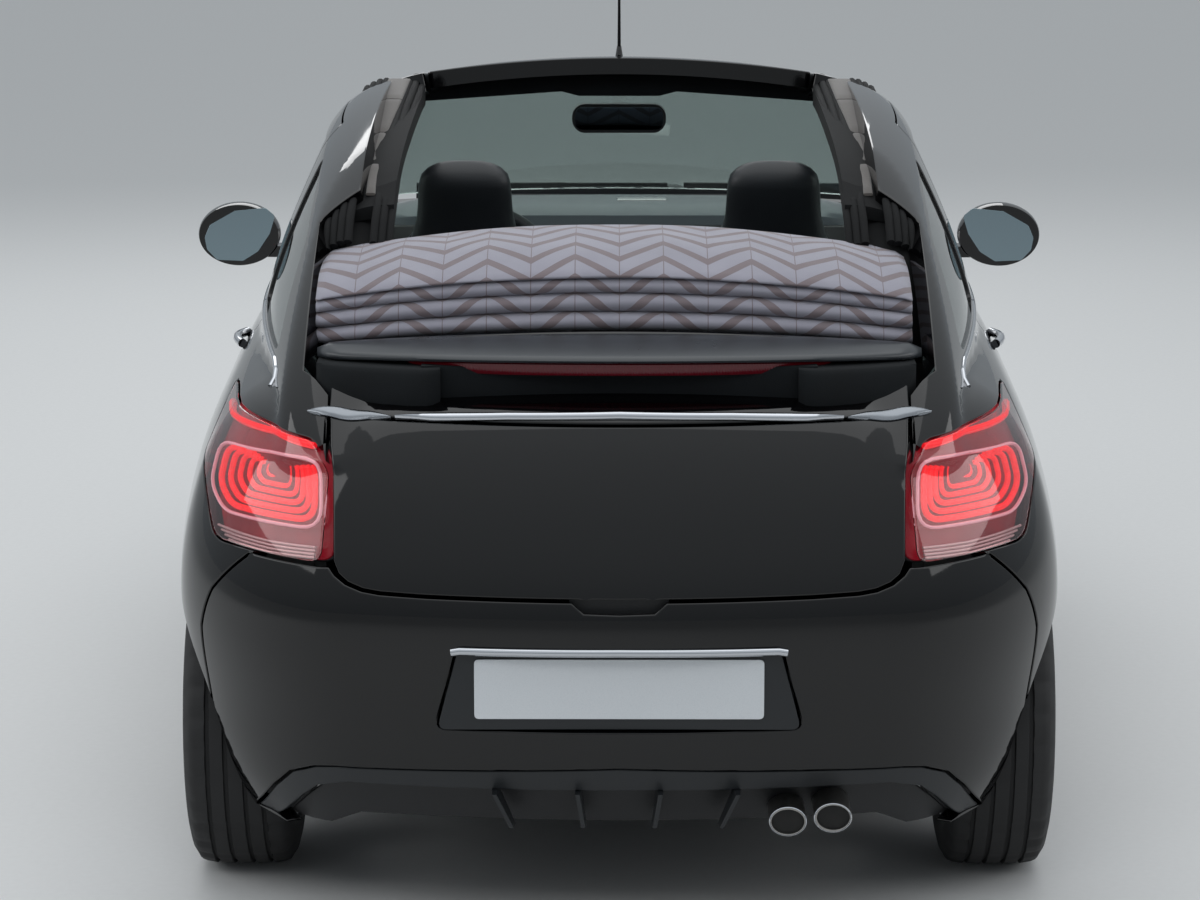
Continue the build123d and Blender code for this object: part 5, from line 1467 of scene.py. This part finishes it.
SQUAB = [(0.255, 0.395, 0.215, 0.070), (0.15, 0.402, 0.222, 0.066), (0.0, 0.392, 0.220, 0.062),
         (-0.12, 0.382, 0.215, 0.064), (-0.215, 0.382, 0.205, 0.066)]
BACK = [(-0.235, 0.395, 0.205, 0.066), (-0.270, 0.55, 0.222, 0.062), (-0.312, 0.76, 0.226, 0.056),
        (-0.352, 0.95, 0.200, 0.050), (-0.385, 1.085, 0.128, 0.044), (-0.398, 1.16, 0.103, 0.042),
        (-0.412, 1.23, 0.098, 0.042), (-0.422, 1.278, 0.086, 0.038)]
SQUAB_SIDE = [(0.235, 0.415, 0.038, 0.066), (0.10, 0.425, 0.040, 0.070), (-0.10, 0.420, 0.040, 0.070),
              (-0.20, 0.415, 0.036, 0.060)]
BACK_SIDE = [(-0.225, 0.50, 0.034, 0.060), (-0.262, 0.68, 0.038, 0.068), (-0.305, 0.86, 0.036, 0.062),
             (-0.352, 1.02, 0.026, 0.044)]
PLINTH = [(0.20, 0.270, 0.190, 0.055), (0.0, 0.272, 0.190, 0.055), (-0.20, 0.272, 0.190, 0.055)]
SEAT_Y = 0.330
BOLSTER_Y = 0.192
REAR_SEAT_Y = 0.283
for name, side in (("left", 1), ("right", -1)):
    heart = side * SEAT_Y
    blocks = [soft_rings(SQUAB, heart), soft_rings(BACK, heart, 3.0, cap=0.045),
              soft_rings(PLINTH, heart, 6.0, cap=0.03)]
    for edge in (-BOLSTER_Y, BOLSTER_Y):
        blocks.append(soft_rings(SQUAB_SIDE, heart + edge, 2.6))
        blocks.append(soft_rings(BACK_SIDE, heart + edge, 2.6))
    soft_piece(f"front_seat_cover_{name}", blocks, leather, "body", f"front_seat_{name}")

REAR_SQUAB = [(-0.825, 0.385, 0.275, 0.075), (-0.95, 0.392, 0.280, 0.072), (-1.10, 0.380, 0.280, 0.070),
              (-1.30, 0.362, 0.270, 0.066)]
REAR_BACK = [(-1.345, 0.40, 0.272, 0.060), (-1.40, 0.58, 0.278, 0.058), (-1.455, 0.76, 0.276, 0.054),
             (-1.512, 0.915, 0.262, 0.046)]
blocks = [soft_rings(part, y) for part in (REAR_SQUAB, REAR_BACK) for y in (REAR_SEAT_Y, -REAR_SEAT_Y)]
soft_piece("rear_seat_cover", blocks, leather, "body", "rear_seat")


# Headlamps: a clear cover over a silvered bowl with two round lenses, screwed to the front
# structure from above. The bowl is moulded and vacuum silvered, so it mirrors a little softly.
silvered, tree, shader = material("vacuum_silvered_reflector")
put(shader, Base_Color=linear("#c6cacd"), Roughness=0.12, Metallic=1.0)
front_lamp_loop = joined(
    seam("side", [(1720, 804), (1600, 826), (1466, 814), (1602, 733), (1720, 688), (1796, 658)]),
    seam("front", [(640, 658), (406, 658), (406, 758)]),
    seam("side", [(1796, 787), (1720, 804)]),
)
front_cover = panel("headlamp_cover_left", "nose", [front_lamp_loop], clear_acrylic, clear_acrylic, "body",
                    "headlamps", depth=0.003, gap=0.012)
front_bowl = panel("headlamp_bowl_left", "nose", [front_lamp_loop], silvered, silvered, "body",
                   form=sunk_form(0.05), depth=0.004, gap=0.014, shut=0.0)
for piece in (front_cover, mirrored(front_cover, "headlamp_cover_right", "body")):
    piece.visible_shadow = False
mirrored(front_bowl, "headlamp_bowl_right", "body")
LENS_BULGE = 0.016
LENS_DEEP = 0.058
LENS_LONG = 0.03
for y, lens_r, label, finish in ((590, 0.040, "dip", clear_acrylic), (480, 0.034, "main", silvered)):
    heart = sink(seam("front", [(y, 738), (y, 737)])[:1], LENS_DEEP)[0]
    turns = np.linspace(0, 1.5, 9)
    for side, name in ((1, "left"), (-1, "right")):
        placed = [[(heart[0] + LENS_BULGE * math.sin(t), side * heart[1] + p[1], heart[2] + p[2])
                   for p in oval(0, 0, 0, lens_r * math.cos(t), lens_r * math.cos(t), 28)] for t in turns]
        back = [(x - LENS_LONG, y_at, z) for x, y_at, z in placed[0]]
        strip_loft(f"headlamp_lens_{label}_{name}", [back] + placed, finish, "body")


# Wheel housings at the front: moulded polypropylene liners, clipped inside the wings, that close the
# arches off from the engine bay
LINER_R = 0.346
LINER_THICK = 0.003
LINER_IN = 0.402
LINER_OUT = 0.805
WALL_OUT = 0.405
WALL_IN = 0.400
for side, name in ((1, "left"), (-1, "right")):
    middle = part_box(f"tyre_front_{name}")
    heart_x = (middle[0].x + middle[1].x) / 2
    heart_z = (middle[0].z + middle[1].z) / 2
    turns = np.radians(np.linspace(-20, 200, 45))
    corners = [(LINER_IN, LINER_R), (LINER_OUT, LINER_R), (LINER_OUT, LINER_R + LINER_THICK),
               (LINER_IN, LINER_R + LINER_THICK)]
    sections = [[(heart_x + r * math.cos(t), side * y, heart_z + r * math.sin(t)) for y, r in corners]
                for t in turns]
    strip_loft(f"wheel_liner_{name}", sections, black_plastic, "body")
    wall_r = LINER_R + 0.002
    rim_line = [(heart_x + wall_r * math.cos(t), heart_z + wall_r * math.sin(t)) for t in turns]
    slab(f"wheel_liner_wall_{name}", rim_line, side * WALL_OUT, side * WALL_IN, black_plastic, "body",
         plane="side", soft=0)


# Trim: boards under black cloth that close the cabin off from the boot below the folded roof, and
# moulded housings behind the tail lamps. All are clipped in place.
back_wall = [(-0.53, 0.925), (0.53, 0.925), (0.53, 1.060), (0.36, 1.088), (-0.36, 1.088), (-0.53, 1.060)]
slab("rear_bulkhead_trim", back_wall, -1.606, -1.596, black_cloth, "body")
shelf = [(-1.600, -0.53), (-1.500, -0.56), (-1.500, 0.56), (-1.600, 0.53)]
slab("parcel_shelf", shelf, 0.925, 0.933, black_cloth, "body", plane="top")
housing = panel("tail_lamp_housing_left", "tail", [lamp_loop], black_plastic, black_plastic, "body",
                form=sunk_form(0.036), depth=0.006, gap=0.02, shut=-0.004)
mirrored(housing, "tail_lamp_housing_right", "body")


# Roof tracks: lips of moulded rubber, pressed into the rails, with taupe pads laid in a row along
# each. The rubber is a matt black, and the nap of the pads' brushed cloth catches soft light.
track_rubber, tree, shader = material("black_sponge_rubber")
place = node(tree, "ShaderNodeTexCoord").outputs["Object"]
bloom = node(tree, "ShaderNodeTexNoise", [("Vector", place)], Scale=1000 / 25, Detail=5.0)
tint = node(tree, "ShaderNodeMix", [("Factor", bloom.outputs["Fac"])], data_type="RGBA", A=linear("#050607"),
            B=linear("#0c0d0f"))
put(shader, [("Base Color", tint.outputs["Result"])], Roughness=0.85, IOR=1.4)

taupe_cloth, tree, shader = material("taupe_brushed_nylon_cloth")
place = node(tree, "ShaderNodeTexCoord").outputs["Object"]
nap = node(tree, "ShaderNodeTexNoise", [("Vector", place)], Scale=1000 / 6.2, Detail=3.0)
tint = node(tree, "ShaderNodeMix", [("Factor", nap.outputs["Fac"])], data_type="RGBA", A=linear("#4d4946"),
            B=linear("#5f5a56"))
put(shader, [("Base Color", tint.outputs["Result"])], Roughness=0.85, Sheen_Weight=0.3)
TRACK_TOP = [(0.02, 1.412, 0.489, 0.025), (-0.30, 1.396, 0.491, 0.023), (-0.60, 1.358, 0.497, 0.014),
             (-0.95, 1.325, 0.490, 0.010), (-1.12, 1.292, 0.488, 0.009)][::-1]
PAD_HALF = 0.006
SEAL_R = 0.0085
track_rows = np.array(TRACK_TOP).T
for side, name in ((1, "left"), (-1, "right")):
    for k, (front, rear) in enumerate(((-0.012, -0.300), (-0.305, -0.598), (-0.603, -0.898),
                                       (-0.903, -1.10))):
        rings = []
        for j in range(13):
            t = j / 12
            x = front + (rear - front) * t
            z, y, half = (float(np.interp(x, track_rows[0], row)) for row in track_rows[1:])
            full = max(0.2, (1 - (2 * t - 1) ** 16)) ** 0.5
            rings.append([(x, side * (y + half * math.copysign(abs(math.cos(a)) ** 0.5, math.cos(a))),
                           z + PAD_HALF * full * math.copysign(abs(math.sin(a)) ** 0.6, math.sin(a)))
                          for a in np.linspace(0, 2 * math.pi, 20, endpoint=False)])
        pad = strip_loft(f"track_pad_{name}_{k}", rings, taupe_cloth, "body")
    for k, (y, drop) in enumerate(((0.440, 0.018), (0.454, 0.010), (0.468, 0.007), (0.518, 0.004),
                                   (0.532, 0.006), (0.546, 0.012), (0.560, 0.020))):
        lip = [(x, side * (y + lean), z - drop) for x, z, lean in (
            (-0.006, 1.410, 0.0), (-0.30, 1.394, 0.004), (-0.60, 1.360, 0.008), (-0.95, 1.322, 0.006),
            (-1.12, 1.292, 0.004), (-1.18, 1.262, 0.006), (-1.22, 1.222, 0.008))]
        rod(f"roof_seal_{name}_{k}", lip, SEAL_R, track_rubber, "body")
    foot = [(-1.06, 1.262, 0.475, 0.585), (-1.14, 1.238, 0.475, 0.600), (-1.20, 1.205, 0.478, 0.612),
            (-1.26, 1.160, 0.485, 0.618), (-1.32, 1.105, 0.492, 0.620), (-1.37, 1.050, 0.500, 0.620)]
    rings = [[(x, side * inner, z - 0.03), (x, side * inner, z), (x, side * (inner + 0.03), z + 0.008),
              (x, side * (outer - 0.03), z + 0.004), (x, side * outer, z - 0.02), (x, side * outer, z - 0.05)]
             for x, z, inner, outer in foot]
    strip_loft(f"track_foot_{name}", rings, track_rubber, "body")


# Front trim: a cloth-covered board under the windscreen header, and the padded top of the dashboard,
# slush-moulded. Its grey-blue is a painted reflection of the sky, lighter than the black of the dashboard
# below, and its grain, drawn coarser, catches light from the windscreen.
header_trim = [(-0.47, 1.350), (-0.13, 1.374), (-0.09, 1.364), (0.09, 1.364), (0.13, 1.374), (0.47, 1.350),
               (0.50, 1.385), (0.46, 1.412), (-0.46, 1.412), (-0.50, 1.385)]
slab("header_trim", header_trim, 0.080, 0.112, black_cloth, "body", soft=0.004)
dash_top_painted_sky, tree, shader = material("dash_top_skin_painted_sky_grey_blue")
place = node(tree, "ShaderNodeTexCoord").outputs["Object"]
grain = node(tree, "ShaderNodeTexVoronoi", [("Vector", place)], Scale=1000 / 3.8)
lift = node(tree, "ShaderNodeBump", [("Height", grain.outputs["Distance"])], Strength=0.2, Distance=0.0006)
put(shader, [("Normal", lift.outputs["Normal"])], Base_Color=linear("#434c51"), Roughness=0.38, IOR=1.5)
rings = []
for k in range(25):
    share = -1 + 2 * k / 24
    y = 0.585 * share
    front = 0.775 - 0.075 * share ** 2
    full = max(0.1, 1 - share ** 10) ** 0.5
    rings.append([(0.50, y, 1.000), (0.515, y, 1.000 + 0.034 * full), (0.56, y, 1.002 + 0.043 * full),
                  (0.66, y, 1.004 + 0.047 * full), (front, y, 1.004 + 0.046 * full),
                  (front + 0.01, y, 1.000)])
strip_loft("dashboard_top_skin", rings, dash_top_painted_sky, "body")
slab("dash_sensor_cap", [(0.655, -0.115), (0.69, -0.115), (0.69, 0.005), (0.655, 0.005)], 1.046, 1.054,
     ribbed, "body", plane="top", soft=0.003)


# Pieces that keep their shape, such as the floor pan, the engine and the grille, each in its own
# finish. Steel under the car is sprayed with underseal, a dull black with a pebbled surface.
satin_steel, tree, shader = material("satin_black_underseal")
place = node(tree, "ShaderNodeTexCoord").outputs["Object"]
rough_coat = node(tree, "ShaderNodeTexNoise", [("Vector", place)], Scale=1000 / 8.3, Detail=3.0)
lift = node(tree, "ShaderNodeBump", [("Height", rough_coat.outputs["Fac"])], Strength=0.3, Distance=0.001)
put(shader, [("Normal", lift.outputs["Normal"])], Base_Color=linear("#1b1c1d"), Roughness=0.6)

# Stainless steel tube, polished and browned a little by heat
exhaust_steel, tree, shader = material("polished_stainless_steel")
place = node(tree, "ShaderNodeTexCoord").outputs["Object"]
heat = node(tree, "ShaderNodeTexNoise", [("Vector", place)], Scale=1000 / 83, Detail=4.0)
tint = node(tree, "ShaderNodeMix", [("Factor", heat.outputs["Fac"])], data_type="RGBA", A=linear("#8f8c88"),
            B=linear("#a5a4a2"))
put(shader, [("Base Color", tint.outputs["Result"])], Roughness=0.3, Metallic=1.0)

# Aluminium cast in sand, whose grain, drawn coarser, leaves it dull
cast_metal, tree, shader = material("rough_cast_aluminium")
place = node(tree, "ShaderNodeTexCoord").outputs["Object"]
sand = node(tree, "ShaderNodeTexNoise", [("Vector", place)], Scale=1000 / 4.5, Detail=3.0)
lift = node(tree, "ShaderNodeBump", [("Height", sand.outputs["Fac"])], Strength=0.35, Distance=0.001)
put(shader, [("Normal", lift.outputs["Normal"])], Base_Color=linear("#7f8284"), Roughness=0.5, Metallic=0.9)

FINISHES = {
    satin_steel: ["floor_pan", "front_structure", "front_subframe", "rear_axle", "front_struts", "fuel_tank"],
    exhaust_steel: ["exhaust"],
    cast_metal: ["engine_block", "knuckle_left", "knuckle_right"],
    black_plastic: ["grille", "wipers", "aerial", "interior_mirror", "dashboard"],
    black_satin: ["cowl_panel"],
    leather: ["steering_wheel"],
    track_rubber: ["roof_tracks"],
    black_lacquer: ["mirror_left", "mirror_right"],
}
for finish, names in FINISHES.items():
    for name in names:
        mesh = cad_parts[name].data
        mesh.materials.clear()
        mesh.materials.append(finish)
